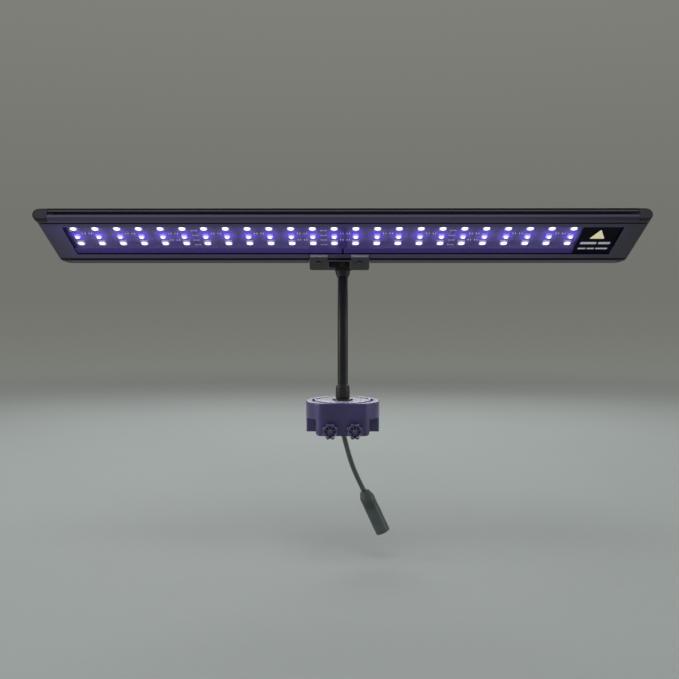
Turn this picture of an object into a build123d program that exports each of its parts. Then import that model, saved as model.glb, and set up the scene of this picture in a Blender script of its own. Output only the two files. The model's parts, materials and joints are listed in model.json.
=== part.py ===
from build123d import *
import os
from math import sin, cos, tan, radians, degrees, atan2, sqrt, pi, hypot

os.makedirs("parts", exist_ok=True)

# Aquarium light on a bendable neck and a rim clamp. Millimetres, +Z up.
# Origin: on the swivel axis, at the height of the glass edge that the clamp
# sits on. -Y is the side the thumb screws are on, +X is to the right.

# ---- driving dimensions: lamp head ----
HEAD_L = 420.0          # overall length
HEAD_W = 61.2           # overall width
HEAD_T = 8.8            # overall thickness
HEAD_TILT = 26.24       # backward lean of the head at rest, degrees
HEAD_Y = 11.08          # rear edge of the head at its lower face
HEAD_Z = 114.2
CAP_L = 8.2             # end cap length
SEAM = 0.1              # visible parting gap between head parts
EDGE_R_LOW = 2.4        # rail edge radius on the lit side
EDGE_R_TOP = 2.0
PLAN_R = 5.0            # corner radius seen from above
RIM_U = 4.7             # width of the rim outside the bezel
RIM_END = 1.7           # the same at the two ends
GROOVE = 0.75           # open joint line along both long edges of the bezel
BEZEL_T = 1.0
WIN_X = 194.0           # half length of the window
WIN_S0, WIN_S1 = -50.4, -12.8
CEIL_T = 6.8            # inner ceiling of the housing
SLOT_T0, SLOT_T1 = 4.4, 6.4   # side slot mouth
SLOT_LIP = 1.4
SLOT_DEEP = 3.2
SLOT_IN0, SLOT_IN1 = 3.8, 7.0
WALL_U = 4.4            # inner face of the side wall
LEDGE_U = 8.5
LEDGE_T = 2.2
PORT_U, PORT_T, PORT_R = 6.6, 4.7, 1.05   # screw ports for the end caps
FIN_PITCH, FIN_W, FIN_D, FIN_N = 3.2, 1.3, 0.8, 15

# ---- driving dimensions: light boards ----
COL_PITCH = 15.3
COL_X0 = -189.6
COLS = 24
ROW_S = (-41.4, -30.6, -20.9)
PER_BOARD = 6
BOARD_S0, BOARD_S1 = -50.2, -12.8
BOARD_T = 1.2
LED_T = 1.4
LED_SQ = 5.0
BLUE_SQ = 4.2

# ---- driving dimensions: bracket ----
BR_X = -2.5             # bracket centre, the neck axis is at x = 0
BR_HALF = 22.3
EAR_IN = 8.6
EAR_S = -12.3
EAR_T0, EAR_T1 = -2.6, -0.05
WALL_S0, WALL_S1 = 2.9, 7.4
BR_SCREW_X = 15.0
BR_SCREW_S = -6.3
BOSS_S = 7.5
BOSS_R = 5.9

# ---- driving dimensions: neck ----
NECK_R = 3.5
CUP_R = 3.6
CUP_RIM = 1.2
LINKS = 8
FERRULE_Z0 = 14.1
NECK_Z0 = 24.7          # centre of the lowest neck joint
FER_LEN = 6.3           # upper ferrule below the bracket
BORE_R = 1.3
STUD_R = 2.4

# ---- driving dimensions: clamp ----
PUCK_R = 27.0
PUCK_FLAT = -21.8
PUCK_Z0, PUCK_Z1 = 1.0, 13.0
RECESS_R = 22.6
RECESS_FRONT = -21.05   # the flat front keeps a thin wall ahead of the disc
RECESS_Z = 9.3
DECK_Z = 7.0
DISC_R = 20.9
DISC_Z0 = 9.9
NOTCHES = 58
HUB_R = 5.0
JAW_HALF = 19.2
JAW_BACK = -11.0
JAW_Z = -10.4
REAR_Y0, REAR_Y1 = 6.0, 12.0
REAR_HALF = 27.1
REAR_Z = -11.4
TAB_Z = -14.6
SCREW_X = 8.7
SCREW_Z = -5.8
SCREW_R = 2.0
KNOB_R = 5.5
KNOB_Y0, KNOB_Y1 = -32.4, -25.4
FOOT_FACE = -1.0
CABLE_R = 1.8
EXIT_Y = 18.5

HEAD = Location((0, HEAD_Y, HEAD_Z), (-HEAD_TILT, 0, 0))
TH = radians(HEAD_TILT)


def box(x0, x1, y0, y1, z0, z1):
    return Pos((x0 + x1) / 2, (y0 + y1) / 2, (z0 + z1) / 2) * Box(
        x1 - x0, y1 - y0, z1 - z0
    )


def cz(x, y, z0, z1, r, r2=None):
    """Cylinder or cone along Z from z0 to z1."""
    if r2 is None:
        return Pos(x, y, (z0 + z1) / 2) * Cylinder(r, z1 - z0)
    return Pos(x, y, (z0 + z1) / 2) * Cone(r, r2, z1 - z0)


def cy(x, z, y0, y1, r):
    return Pos(x, (y0 + y1) / 2, z) * Rot(90, 0, 0) * Cylinder(r, y1 - y0)


def cx(y, z, x0, x1, r):
    return Pos((x0 + x1) / 2, y, z) * Rot(0, 90, 0) * Cylinder(r, x1 - x0)


def hexa(x, y, z0, z1, af):
    return Pos(x, y, z0) * extrude(RegularPolygon(af / 2, 6, major_radius=False), z1 - z0)


def plate(x0, x1, y0, y1, r, z0, z1):
    sk = Pos((x0 + x1) / 2, (y0 + y1) / 2) * RectangleRounded(x1 - x0, y1 - y0, r)
    return Pos(0, 0, z0) * extrude(sk, z1 - z0)


def save(name, items, where=None):
    if not isinstance(items, (list, tuple)):
        items = [items]
    solids = []
    for it in items:
        solids += list(it.solids())
    if where is not None:
        solids = [s.moved(where) for s in solids]
    shape = solids[0] if len(solids) == 1 else Compound(children=solids)
    export_step(shape, f"parts/{name}.step")


# =====================================================================
# Lamp head, in its own axes: x along the head, y = 0 at the rear edge and
# negative towards the front, z = 0 at the lit face and positive into it.
# =====================================================================
XE = HEAD_L / 2 - CAP_L          # end of the extrusion


def mir(u):
    return [-u, -(HEAD_W - u)]


def outline():
    """Outer section of the head, one closed polygon in (y, z)."""
    half = [
        (RIM_U, 0), (0, 0), (0, SLOT_T0), (SLOT_LIP, SLOT_T0),
        (SLOT_LIP, SLOT_IN0), (SLOT_DEEP, SLOT_IN0), (SLOT_DEEP, SLOT_IN1),
        (SLOT_LIP, SLOT_IN1), (SLOT_LIP, SLOT_T1), (0, SLOT_T1), (0, HEAD_T),
    ]
    inner = [
        (RIM_U, BEZEL_T), (LEDGE_U, BEZEL_T), (LEDGE_U, LEDGE_T),
        (WALL_U, LEDGE_T), (WALL_U, CEIL_T),
    ]
    rear = [(-u, t) for u, t in half]
    front = [(-(HEAD_W - u), t) for u, t in reversed(half)]
    back_in = [(-u, t) for u, t in inner]
    front_in = [(-(HEAD_W - u), t) for u, t in reversed(inner)]
    return rear + front + front_in[::-1] + back_in[::-1]


pts = outline()
sec = make_face(Polyline(pts, close=True))


def pick(sk, spots, tol=0.02):
    return [
        v for v in sk.vertices()
        if any(abs(v.X - a) < tol and abs(v.Y - b) < tol for a, b in spots)
    ]


sec = fillet(pick(sec, [(0, 0), (-HEAD_W, 0)]), EDGE_R_LOW)
sec = fillet(pick(sec, [(0, HEAD_T), (-HEAD_W, HEAD_T)]), EDGE_R_TOP)
sec = fillet(
    pick(sec, [(0, SLOT_T0), (-HEAD_W, SLOT_T0), (0, SLOT_T1), (-HEAD_W, SLOT_T1)]),
    0.3,
)
for side in mir(PORT_U):
    sec += Pos(side, PORT_T) * Circle(2.1)
for side, sgn in ((-(WALL_U + 1.1), 1), (-(HEAD_W - WALL_U - 1.1), -1)):
    sec += Pos(side, PORT_T + 1.05) * Rectangle(2.4, 2.1)
for side in mir(PORT_U):
    sec -= Pos(side, PORT_T) * Circle(PORT_R)
s_mid = -HEAD_W / 2
for i in range(FIN_N):
    c = s_mid + (i - (FIN_N - 1) / 2) * FIN_PITCH
    sec -= Pos(c, HEAD_T - FIN_D / 2 + 0.01) * Rectangle(FIN_W, FIN_D + 0.02)
housing = Pos(-XE, 0, 0) * extrude(Plane.YZ * sec, 2 * XE)
for sx in (-1, 1):
    housing -= cz(BR_X + sx * BR_SCREW_X, BR_SCREW_S, 0.5, 2.6, 1.25)
housing -= cy(0, 5.4, -WALL_U - 0.5, -SLOT_DEEP + 0.5, 1.55)
housing -= box(-4.5, 4.5, -9.3, -WALL_U, LEDGE_T, CEIL_T)
BOARD_SCREWS = []
for b in range(4):
    x0 = COL_X0 + b * PER_BOARD * COL_PITCH
    for k, s in ((1, -15.4), (4, -45.8)):
        BOARD_SCREWS.append((x0 + (k - 0.5) * COL_PITCH, s))
for x, s in BOARD_SCREWS:
    housing -= cz(x, s, CEIL_T - 0.1, CEIL_T + 0.9, 0.85)
save("housing_extrusion", housing, HEAD)

# end caps: same outer form as the rails, carried round the corners
cap_sk = Pos(0, s_mid) * RectangleRounded(HEAD_L, HEAD_W, PLAN_R)
full = extrude(cap_sk, HEAD_T)
full = fillet(full.edges().group_by(Axis.Z)[0], EDGE_R_LOW)
full = fillet(full.edges().group_by(Axis.Z)[-1], EDGE_R_TOP)
BX = HEAD_L / 2 - RIM_END
bez_out = plate(-BX - 0.05, BX + 0.05, -(HEAD_W - RIM_U), -RIM_U, 2.0, -1, BEZEL_T)
for name, sx in (("end_cap_left", -1), ("end_cap_right", 1)):
    xa, xb = sorted((sx * (XE + SEAM), sx * (HEAD_L / 2 + 1)))
    cap = full & box(xa, xb, -HEAD_W - 1, 1, -1, HEAD_T + 1)
    cap -= bez_out
    xi = sorted((sx * (XE - 1), sx * (XE + 4.6)))
    cap -= box(xi[0], xi[1], -46, -15, 3.4, 6.6)
    for side in mir(PORT_U):
        cap -= cx(side, PORT_T, *sorted((sx * XE, sx * (HEAD_L / 2 + 1))), 1.35)
        cap -= cx(side, PORT_T, *sorted((sx * (HEAD_L / 2 - 1.9), sx * (HEAD_L / 2 + 1))), 2.3)
    # spigots that plug into the side slots
    for side in (-(SLOT_LIP + SLOT_DEEP) / 2, -(HEAD_W - (SLOT_LIP + SLOT_DEEP) / 2)):
        ya, yb = side - 0.75, side + 0.75
        xs = sorted((sx * (XE - 4), sx * (XE + 1)))
        cap += box(xs[0], xs[1], ya, yb, SLOT_IN0 + 0.2, SLOT_IN1 - 0.2)
    save(name, cap, HEAD)

# end cap screws: cross-head, driven along the head
scr = []
for sx in (-1, 1):
    for side in mir(PORT_U):
        h0 = sx * (HEAD_L / 2 - 1.85)
        h1 = sx * (HEAD_L / 2 - 0.45)
        head = cx(side, PORT_T, *sorted((h0, h1)), 2.15)
        head -= box(*sorted((sx * (HEAD_L / 2 - 1.2), sx * (HEAD_L / 2))), side - 1.3, side + 1.3, PORT_T - 0.25, PORT_T + 0.25)
        head -= box(*sorted((sx * (HEAD_L / 2 - 1.2), sx * (HEAD_L / 2))), side - 0.25, side + 0.25, PORT_T - 1.3, PORT_T + 1.3)
        shank = cx(side, PORT_T, *sorted((h0, sx * (XE - 7))), 1.02)
        scr.append(head + shank)
save("end_cap_screws", scr, HEAD)

# bezel plate with its long window
bezel = plate(-BX, BX, -(HEAD_W - RIM_U) + GROOVE, -RIM_U - GROOVE, 1.6, 0.0, BEZEL_T - 0.02)
bezel -= plate(-WIN_X, WIN_X, WIN_S0, WIN_S1, 0.8, -1, 2)
bezel = chamfer(
    [e for e in bezel.edges().group_by(Axis.Z)[0] if abs(e.center().Y - s_mid) < 19 and abs(e.center().X) < WIN_X + 1],
    0.35,
)
for sx in (-1, 1):
    bezel -= cz(BR_X + sx * BR_SCREW_X, BR_SCREW_S, -1, 2, 1.4)
save("face_bezel", bezel, HEAD)

# gasket ring and clear cover
LX, LS0, LS1 = WIN_X + 3.2, WIN_S0 - 2.0, WIN_S1 + 2.8
gasket = plate(-LX, LX, LS0, LS1, 1.5, BEZEL_T, BEZEL_T + 0.3)
gasket -= plate(-WIN_X - 0.6, WIN_X + 0.6, WIN_S0 - 0.6, WIN_S1 + 0.6, 0.8, 0, 2)
save("lens_gasket", gasket, HEAD)
lens = plate(-LX, LX, LS0, LS1, 1.5, BEZEL_T + 0.3, BEZEL_T + 1.7)
save("cover_lens", lens, HEAD)

# plain information label on the outside of the cover
label = plate(167.0, WIN_X - 0.1, WIN_S0 + 0.1, WIN_S1 - 0.1, 0.5, BEZEL_T + 0.1, BEZEL_T + 0.28)
save("info_label", label, HEAD)

# light boards
bt0, bt1 = CEIL_T - BOARD_T, CEIL_T
boards = []
for b in range(4):
    x0 = COL_X0 + (b * PER_BOARD - 0.5) * COL_PITCH
    bd = box(x0 + 0.1, x0 + PER_BOARD * COL_PITCH - 0.1, BOARD_S0, BOARD_S1, bt0, bt1)
    for x, s in BOARD_SCREWS[2 * b : 2 * b + 2]:
        bd -= cz(x, s, bt0 - 1, bt1 + 1, 1.15)
    boards.append(bd)
save("led_boards", boards, HEAD)


def package(x, s, sq, h, dome):
    body = box(x - sq / 2, x + sq / 2, s - sq / 2, s + sq / 2, bt0 - h + 0.25, bt0)
    body += cz(x, s, bt0 - h, bt0 - h + 0.3, dome)
    return body


white, blue = [], []
for c in range(COLS):
    x = COL_X0 + c * COL_PITCH
    white.append(package(x, ROW_S[0], LED_SQ, LED_T, 2.1))
    white.append(package(x, ROW_S[2], LED_SQ, LED_T, 2.1))
    blue.append(package(x, ROW_S[1], BLUE_SQ, LED_T, 1.7))
save("white_leds", white, HEAD)
save("blue_leds", blue, HEAD)

# chip resistors between the rows, and the solder links between boards
S_UP = (ROW_S[0] + ROW_S[1]) / 2
S_LO = (ROW_S[1] + ROW_S[2]) / 2
res = []
for b in range(4):
    pairs = [(0, S_UP), (2, S_UP), (4, S_UP), (4 if b < 2 else 0, S_LO)]
    for k, s in pairs:
        xm = COL_X0 + (b * PER_BOARD + k + 0.5) * COL_PITCH
        for dx in (-2.3, 2.3):
            res.append(box(xm + dx - 1.6, xm + dx + 1.6, s - 0.8, s + 0.8, bt0 - 0.6, bt0))
save("board_resistors", res, HEAD)

links = []
for b in range(1, 4):
    xm = COL_X0 + (b * PER_BOARD - 0.5) * COL_PITCH
    for k in range(5):
        s = s_mid + (k - 2) * 6.6
        links.append(box(xm - 2.4, xm + 2.4, s - 0.7, s + 0.7, bt0 - 0.35, bt0))
for s in (S_UP - 4.4, S_LO + 4.4):
    links.append(box(COL_X0 - 6.2, COL_X0 - 4.0, s - 0.7, s + 0.7, bt0 - 0.35, bt0))
save("board_links", links, HEAD)

bs = []
for x, s in BOARD_SCREWS:
    hd = cz(x, s, bt0 - 0.9, bt0, 1.75) - box(x - 1.1, x + 1.1, s - 0.2, s + 0.2, bt0 - 1.2, bt0 - 0.5)
    hd -= box(x - 0.2, x + 0.2, s - 1.1, s + 1.1, bt0 - 1.2, bt0 - 0.5)
    bs.append(hd + cz(x, s, bt0, CEIL_T + 0.8, 0.8))
save("board_screws", bs, HEAD)

# terminal board behind the label, with its parts
save("terminal_board", box(173.0, 199.5, -47, -14, bt0, bt1), HEAD)
chips = [
    box(178, 184, -40, -35, bt0 - 1.5, bt0),
    box(187, 192, -40.5, -35.5, bt0 - 1.2, bt0),
    box(177.5, 180.7, -31, -29.4, bt0 - 0.7, bt0),
    box(183, 186.2, -31, -29.4, bt0 - 0.7, bt0),
    box(188.5, 193.5, -30, -22, bt0 - 1.9, bt0),
    cz(181, -23.5, bt0 - 2.0, bt0, 3.0),
]
save("driver_chips", chips, HEAD)

# supply wires along the rear inside of the housing
LEAD_S, LEAD_Z = -8.0, 5.4


def tube_path(points, r, rad):
    """Round bar along a polyline with rounded corners."""
    path = FilletPolyline(*points, radius=rad)
    start = Plane(origin=path @ 0, z_dir=path % 0)
    return sweep(start * Circle(r), path=path)


leads = []
for k, (r, s, tt, s_end) in enumerate(((0.55, -10.1, 5.0, -17.6), (0.55, -11.4, 3.7, -19.8))):
    leads.append(tube_path([(2.2, s, tt), (174.5 + k * 1.6, s, tt), (174.5 + k * 1.6, s_end, tt)], r, 1.5))
save("head_leads", leads, HEAD)

lead_in = tube_path([(0, BOSS_S, 4.2), (0, BOSS_S, 5.9 - 0.5), (0, -10.6, 5.4)], 0.9, 1.1)
save("lead_in_cable", lead_in, HEAD)

grommet = cy(0, 5.4, -WALL_U - 0.9, -SLOT_DEEP + 0.9, 1.5) + cy(0, 5.4, -WALL_U - 0.9, -WALL_U - 0.05, 2.3)
grommet &= box(-3, 3, -8, 0, SLOT_IN0 + 0.1, CEIL_T - 0.1)
grommet -= cy(0, 5.4, -9, 0, 0.98)
save("entry_grommet", grommet, HEAD)

# =====================================================================
# Bracket on the rear rail
# =====================================================================
xl, xr = BR_X - BR_HALF, BR_X + BR_HALF
lower = plate(xl, xr, EAR_S, WALL_S1, 1.6, EAR_T0, EAR_T1)
lower -= box(BR_X - EAR_IN, BR_X + EAR_IN, EAR_S - 1, WALL_S0, EAR_T0 - 1, EAR_T1 + 1)
wall = plate(xl, xr, WALL_S0 - 4, WALL_S1, 1.6, EAR_T0, 10.4) & box(xl, xr, WALL_S0, WALL_S1 + 1, EAR_T0, 10.4)
top = plate(xl, xr, -6.0, WALL_S1, 1.6, HEAD_T + 0.05, 10.4)
bracket = lower + wall + top
bracket = fillet(
    [e for e in bracket.edges() if e.geom_type == GeomType.LINE and abs(e.center().X - BR_X) < 1 and e.length > 30
     and e.center().Y > WALL_S1 - 0.1],
    0.9,
)
boss = cz(0, BOSS_S, EAR_T0, 9.0, BOSS_R) + cz(0, BOSS_S, 9.0, 10.4, BOSS_R, BOSS_R - 1.4)
bracket += boss
for sx in (-1, 1):
    tx = BR_X + sx * 15.2
    bracket += box(tx - 5.8, tx + 5.8, -2.9, WALL_S0 + 0.5, SLOT_T0 + 0.1, SLOT_T1 - 0.1)
    bracket -= cz(BR_X + sx * BR_SCREW_X, BR_SCREW_S, -4, 1, 1.35)
    bracket -= cz(BR_X + sx * BR_SCREW_X, BR_SCREW_S, -4, -1.2, 2.35)
bracket -= cz(0, BOSS_S, -4, 2, STUD_R + 0.05)
bracket -= hexa(0, BOSS_S, 1.5, 11, 7.7)
bracket -= cz(0, BOSS_S, 8.6, 11, 4.5)
bracket -= cy(0, 5.4, 0, BOSS_S, 1.3)
save("neck_bracket", bracket, HEAD)

brs = []
for sx in (-1, 1):
    x = BR_X + sx * BR_SCREW_X
    hd = cz(x, BR_SCREW_S, -2.5, -1.25, 2.15) - hexa(x, BR_SCREW_S, -2.6, -1.6, 2.0)
    brs.append(hd + cz(x, BR_SCREW_S, -1.25, 2.1, 1.2))
save("bracket_screws", brs, HEAD)

cap = cz(0, BOSS_S, 8.65, 10.4, 4.45)
cap = fillet(cap.edges().group_by(Axis.Z)[-1], 0.5)
save("bracket_cap", cap, HEAD)

nut = hexa(0, BOSS_S, 1.55, 3.55, 7.6) - cz(0, BOSS_S, 1, 5, STUD_R + 0.05)
save("ferrule_nut", nut, HEAD)

prof = make_face(Polyline(
    [(BORE_R, 0.0), (5.4, 0.0), (5.4, -2.2), (3.95, -FER_LEN + 0.4), (3.7, -FER_LEN), (BORE_R, -FER_LEN)], close=True
))
prof = fillet(pick(prof, [(5.4, -2.2)]), 0.8)
ferr = revolve(Plane.XZ * prof, Axis.Z)
ferr += cz(0, 0, -0.1, 6.2, STUD_R) - cz(0, 0, -1, 7, BORE_R)
ferr -= Pos(0, 0, -FER_LEN - CUP_RIM) * Sphere(CUP_R)
FER_LOC = HEAD * Pos(0, BOSS_S, EAR_T0 - 0.05)
save("upper_ferrule", ferr, FER_LOC)

# =====================================================================
# Neck: a straight run, then an even backward bend to the head's tilt
# =====================================================================
b_len = FER_LEN + CUP_RIM
tip = (
    HEAD_Y + BOSS_S * cos(TH) + (EAR_T0 - 0.05) * sin(TH),
    HEAD_Z - BOSS_S * sin(TH) + (EAR_T0 - 0.05) * cos(TH),
)
end = (tip[0] - b_len * sin(TH), tip[1] - b_len * cos(TH))
BEND_R = end[0] / (1 - cos(TH))
STRAIGHT = end[1] - NECK_Z0 - BEND_R * sin(TH)
ARC = BEND_R * TH
TOTAL = STRAIGHT + ARC


def neck_point(d):
    """Point (y, z) and lean angle at distance d along the neck."""
    if d <= STRAIGHT:
        return 0.0, NECK_Z0 + d, 0.0
    a = (d - STRAIGHT) / BEND_R
    return BEND_R * (1 - cos(a)), NECK_Z0 + STRAIGHT + BEND_R * sin(a), a


nodes = [neck_point(TOTAL * i / LINKS) for i in range(LINKS + 1)]
for i in range(LINKS):
    (y0, z0, _), (y1, z1, _) = nodes[i], nodes[i + 1]
    length = hypot(y1 - y0, z1 - z0)
    lean = degrees(atan2(y1 - y0, z1 - z0))
    link = cz(0, 0, CUP_RIM, length, NECK_R) + Pos(0, 0, length) * Sphere(NECK_R)
    link -= Sphere(CUP_R)
    link -= cz(0, 0, -1, length + 5, BORE_R)
    save(f"neck_link_{i + 1}", link, Location((0, y0, z0), (-lean, 0, 0)))

# lower ferrule, with the ball of the first joint and a threaded tube below
fz = NECK_Z0 - FERRULE_Z0
lp = make_face(
    Polyline([(BORE_R, 0), (4.75, 0), (5.1, 1.2), (5.2, 4.8), (5.05, 8.2), (4.4, fz - 0.3), (3.9, fz - 0.1), (BORE_R, fz - 0.1)], close=True)
)
lp = fillet(pick(lp, [(5.2, 4.8), (5.1, 1.2), (5.05, 8.2)]), 2.0)
lf = Pos(0, 0, FERRULE_Z0) * revolve(Plane.XZ * lp, Axis.Z)
lf += cz(0, 0, NECK_Z0 - 1, NECK_Z0, NECK_R) + Pos(0, 0, NECK_Z0) * Sphere(NECK_R)
lf += cz(0, 0, 3.6, FERRULE_Z0 + 0.2, STUD_R)
lf -= cz(0, 0, 0, 40, BORE_R)
save("lower_ferrule", lf)

flange = cz(0, 0, 13.02, 14.08, 7.6)
flange = fillet(flange.edges().group_by(Axis.Z)[-1], 0.4)
flange -= cz(0, 0, 12, 16, STUD_R + 0.05)
save("neck_flange", flange)

# =====================================================================
# Turning disc, its bush, clip and nut
# =====================================================================
disc = cz(0, 0, DISC_Z0, 13.0, DISC_R)
disc = chamfer(disc.edges().group_by(Axis.Z)[-1], 0.35)
notch = [
    Pos(DISC_R * cos(2 * pi * i / NOTCHES), DISC_R * sin(2 * pi * i / NOTCHES), 12.2) * Cylinder(0.62, 2.4)
    for i in range(NOTCHES)
]
for nk in notch:
    disc -= nk
disc += cz(0, 0, 5.2, DISC_Z0, HUB_R)
disc -= cz(0, 0, 6.15, 6.85, 9) - cz(0, 0, 6.15, 6.85, 4.4)
disc -= cz(0, 0, 0, 20, STUD_R + 0.05)
save("swivel_disc", disc)

bush = cz(0, 0, DECK_Z + 0.05, RECESS_Z, 5.95) + cz(0, 0, RECESS_Z + 0.02, DISC_Z0 - 0.05, 9.0)
bush += cz(0, 0, RECESS_Z - 0.3, RECESS_Z + 0.1, 5.95)
bush -= cz(0, 0, 0, 20, HUB_R + 0.05)
save("swivel_bush", bush)

clip = cz(0, 0, 6.2, 6.8, 7.4) - cz(0, 0, 5, 8, 4.45)
clip -= box(-2.6, 2.6, -9, 0, 5, 8)
save("swivel_clip", clip)

hnut = hexa(0, 0, 3.8, 5.15, 8.0) - cz(0, 0, 2, 7, STUD_R + 0.05)
save("hub_nut", hnut)

# =====================================================================
# Clamp body: round housing and front jaw in one moulding
# =====================================================================
puck_sk = Circle(PUCK_R) & (Pos(0, 50 + PUCK_FLAT) * Rectangle(100, 100))
puck_sk = fillet([v for v in puck_sk.vertices() if abs(v.Y - PUCK_FLAT) < 0.1], 4.5)
puck = Pos(0, 0, PUCK_Z0) * extrude(puck_sk, PUCK_Z1 - PUCK_Z0)
puck = fillet(puck.edges().group_by(Axis.Z)[-1], 0.9)
jaw_sk = puck_sk & (Pos(0, (JAW_BACK + PUCK_FLAT) / 2 - 2) * Rectangle(2 * JAW_HALF, JAW_BACK - PUCK_FLAT + 4))
jaw = Pos(0, 0, JAW_Z) * extrude(jaw_sk, PUCK_Z0 + 1 - JAW_Z)
jaw = fillet(
    [e for e in jaw.edges().filter_by(Axis.Y) if e.center().Z < JAW_Z + 0.1 and abs(e.center().X) > JAW_HALF - 0.1],
    2.2,
)
body = puck + jaw
body -= cz(0, 0, RECESS_Z, 20, RECESS_R) & box(-30, 30, RECESS_FRONT, 30, 0, 30)
cavity = Circle(PUCK_R - 2.4) & (Pos(0, 50 + JAW_BACK) * Rectangle(100, 100))
body -= extrude(cavity, DECK_Z)
BASE_SCREWS = [(-17.5, -3.0), (17.5, -3.0), (-9.5, 17.5), (9.5, 17.5)]
for x, y in BASE_SCREWS:
    body += cz(x, y, 3.5, DECK_Z + 0.2, 2.6)
    body -= cz(x, y, 3.4, 8.3, 1.05)
body -= cz(0, 0, 5, 12, 6.0)
for sx in (-1, 1):
    body -= cy(sx * SCREW_X, SCREW_Z, -30, 0, 2.85) & box(-20, 20, -30, JAW_BACK + 1, -12, 0)
save("clamp_body", body)

# rear jaw with the base plate that closes the housing
base = Pos(0, 0, PUCK_Z0) * extrude(
    Circle(PUCK_R - 2.5) & (Pos(0, 50 + JAW_BACK + 0.1) * Rectangle(100, 100)), 2.4
)
rj_sk = Pos(0, (REAR_Y0 + REAR_Y1) / 2) * RectangleRounded(2 * REAR_HALF, REAR_Y1 - REAR_Y0, 1.5)
rj = Pos(0, 0, REAR_Z) * extrude(rj_sk, PUCK_Z0 - 0.05 - REAR_Z)
tab_sk = Pos(0, (REAR_Y0 + REAR_Y1) / 2) * Rectangle(2 * JAW_HALF, REAR_Y1 - REAR_Y0)
rj += Pos(0, 0, TAB_Z) * extrude(tab_sk, REAR_Z + 1 - TAB_Z)
rj = fillet(
    [e for e in rj.edges().filter_by(Axis.Y) if e.center().Z < TAB_Z + 0.1], 2.2
)
rear = rj + base
rear += box(-14, 14, REAR_Y0, REAR_Y1, PUCK_Z0 - 0.5, PUCK_Z0 + 0.5)
# stiffening ribs on the rear face of the jaw
for x in (-14.5, -5.6, 5.6, 14.5):
    rib = extrude(
        Plane.YZ * make_face(Polyline([(REAR_Y1 - 0.5, 1.2), (REAR_Y1 + 4.0, 1.2), (REAR_Y1 - 0.5, -9.5)], close=True)), 1.6
    )
    rear += Pos(x - 0.8, 0, 0) * rib
for x, y in BASE_SCREWS:
    rear -= cz(x, y, 0, 5, 1.35)
    rear -= cz(x, y, 0.9, 2.1, 2.45)
rear -= cz(0, 0, 1.7, 4, 5.6)
rear -= box(-1.6, 1.6, 0, EXIT_Y, 1.9, 4)
rear -= cz(0, EXIT_Y, 0, 5, 2.65)
save("rear_jaw", rear)

bsc = []
for x, y in BASE_SCREWS:
    hd = cz(x, y, 1.05, 2.05, 2.3)
    hd -= box(x - 1.3, x + 1.3, y - 0.25, y + 0.25, 0.9, 1.6)
    hd -= box(x - 0.25, x + 0.25, y - 1.3, y + 1.3, 0.9, 1.6)
    bsc.append(hd + cz(x, y, 2.05, 8.0, 1.0))
save("base_screws", bsc)

pad = plate(-22.5, 22.5, JAW_BACK + 0.4, REAR_Y0 - 1.1, 1.5, 0.0, PUCK_Z0 - 0.02)
save("seat_pad", pad)
rpad = Pos(0, REAR_Y0 - 0.02, -5.6) * Rot(90, 0, 0) * extrude(RectangleRounded(36, 9.6, 1.5), 0.98)
save("rear_jaw_pad", rpad)

ins = []
for sx in (-1, 1):
    it = cy(sx * SCREW_X, SCREW_Z, -20.8, -11.2, 2.8) - cy(sx * SCREW_X, SCREW_Z, -22, -10, SCREW_R + 0.06)
    ins.append(it)
save("thread_inserts", ins)

# =====================================================================
# Thumb screws with star knobs and swivelling pressure feet
# =====================================================================
for side, sx in (("left", -1), ("right", 1)):
    x = sx * SCREW_X
    stem = cy(x, SCREW_Z, KNOB_Y0 + 1.6, -5.1, SCREW_R)
    stem = chamfer(
        [e for e in stem.edges().filter_by(GeomType.CIRCLE) if abs(e.center().Y + 5.1) < 0.05], 0.4
    )
    stem += cy(x, SCREW_Z, -5.2, -3.35, 1.2)
    save(f"thumb_screw_{side}", stem)

    lobe = Circle(KNOB_R - 0.75)
    for i in range(8):
        a = 2 * pi * (i + 0.5) / 8
        lobe += Pos((KNOB_R - 1.15) * cos(a), (KNOB_R - 1.15) * sin(a)) * Circle(1.15)
    for i in range(8):
        a = 2 * pi * i / 8
        lobe -= Pos((KNOB_R + 0.35) * cos(a), (KNOB_R + 0.35) * sin(a)) * Circle(0.95)
    knob = extrude(lobe, 5.6)
    knob = chamfer(knob.edges().group_by(Axis.Z)[-1], 0.3)
    knob += Pos(0, 0, -1.4) * Pos(0, 0, 0.75) * Cylinder(3.4, 1.5)
    dish = Pos(0, 0, 5.6) * Cylinder(KNOB_R - 1.75, 2.5)
    knob -= dish
    for i in range(8):
        a = 360 * (i + 0.5) / 8
        knob += Rot(0, 0, a) * Pos((KNOB_R - 1.75) / 2 + 0.4, 0, 4.85) * Box(KNOB_R - 1.85, 0.6, 1.1)
    knob += Pos(0, 0, 4.9) * Cylinder(1.15, 1.2)
    # local +Z of the knob points to the user, which is -Y
    kl = Pos(x, KNOB_Y1 - 1.4, SCREW_Z) * Rot(90, 0, 0)
    knob = kl * knob
    knob -= cy(x, SCREW_Z, KNOB_Y0 + 1.55, -20, SCREW_R + 0.02)
    save(f"thumb_knob_{side}", knob)

    foot = cy(x, SCREW_Z, -4.5, -2.0, 3.65)
    foot = fillet([e for e in foot.edges().filter_by(GeomType.CIRCLE) if abs(e.center().Y + 4.5) < 0.05], 0.6)
    foot -= cy(x, SCREW_Z, -6, -3.2, 1.3)
    save(f"pressure_foot_{side}", foot)
    rub = cy(x, SCREW_Z, -1.98, FOOT_FACE, 3.45)
    save(f"foot_rubber_{side}", rub)

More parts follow.
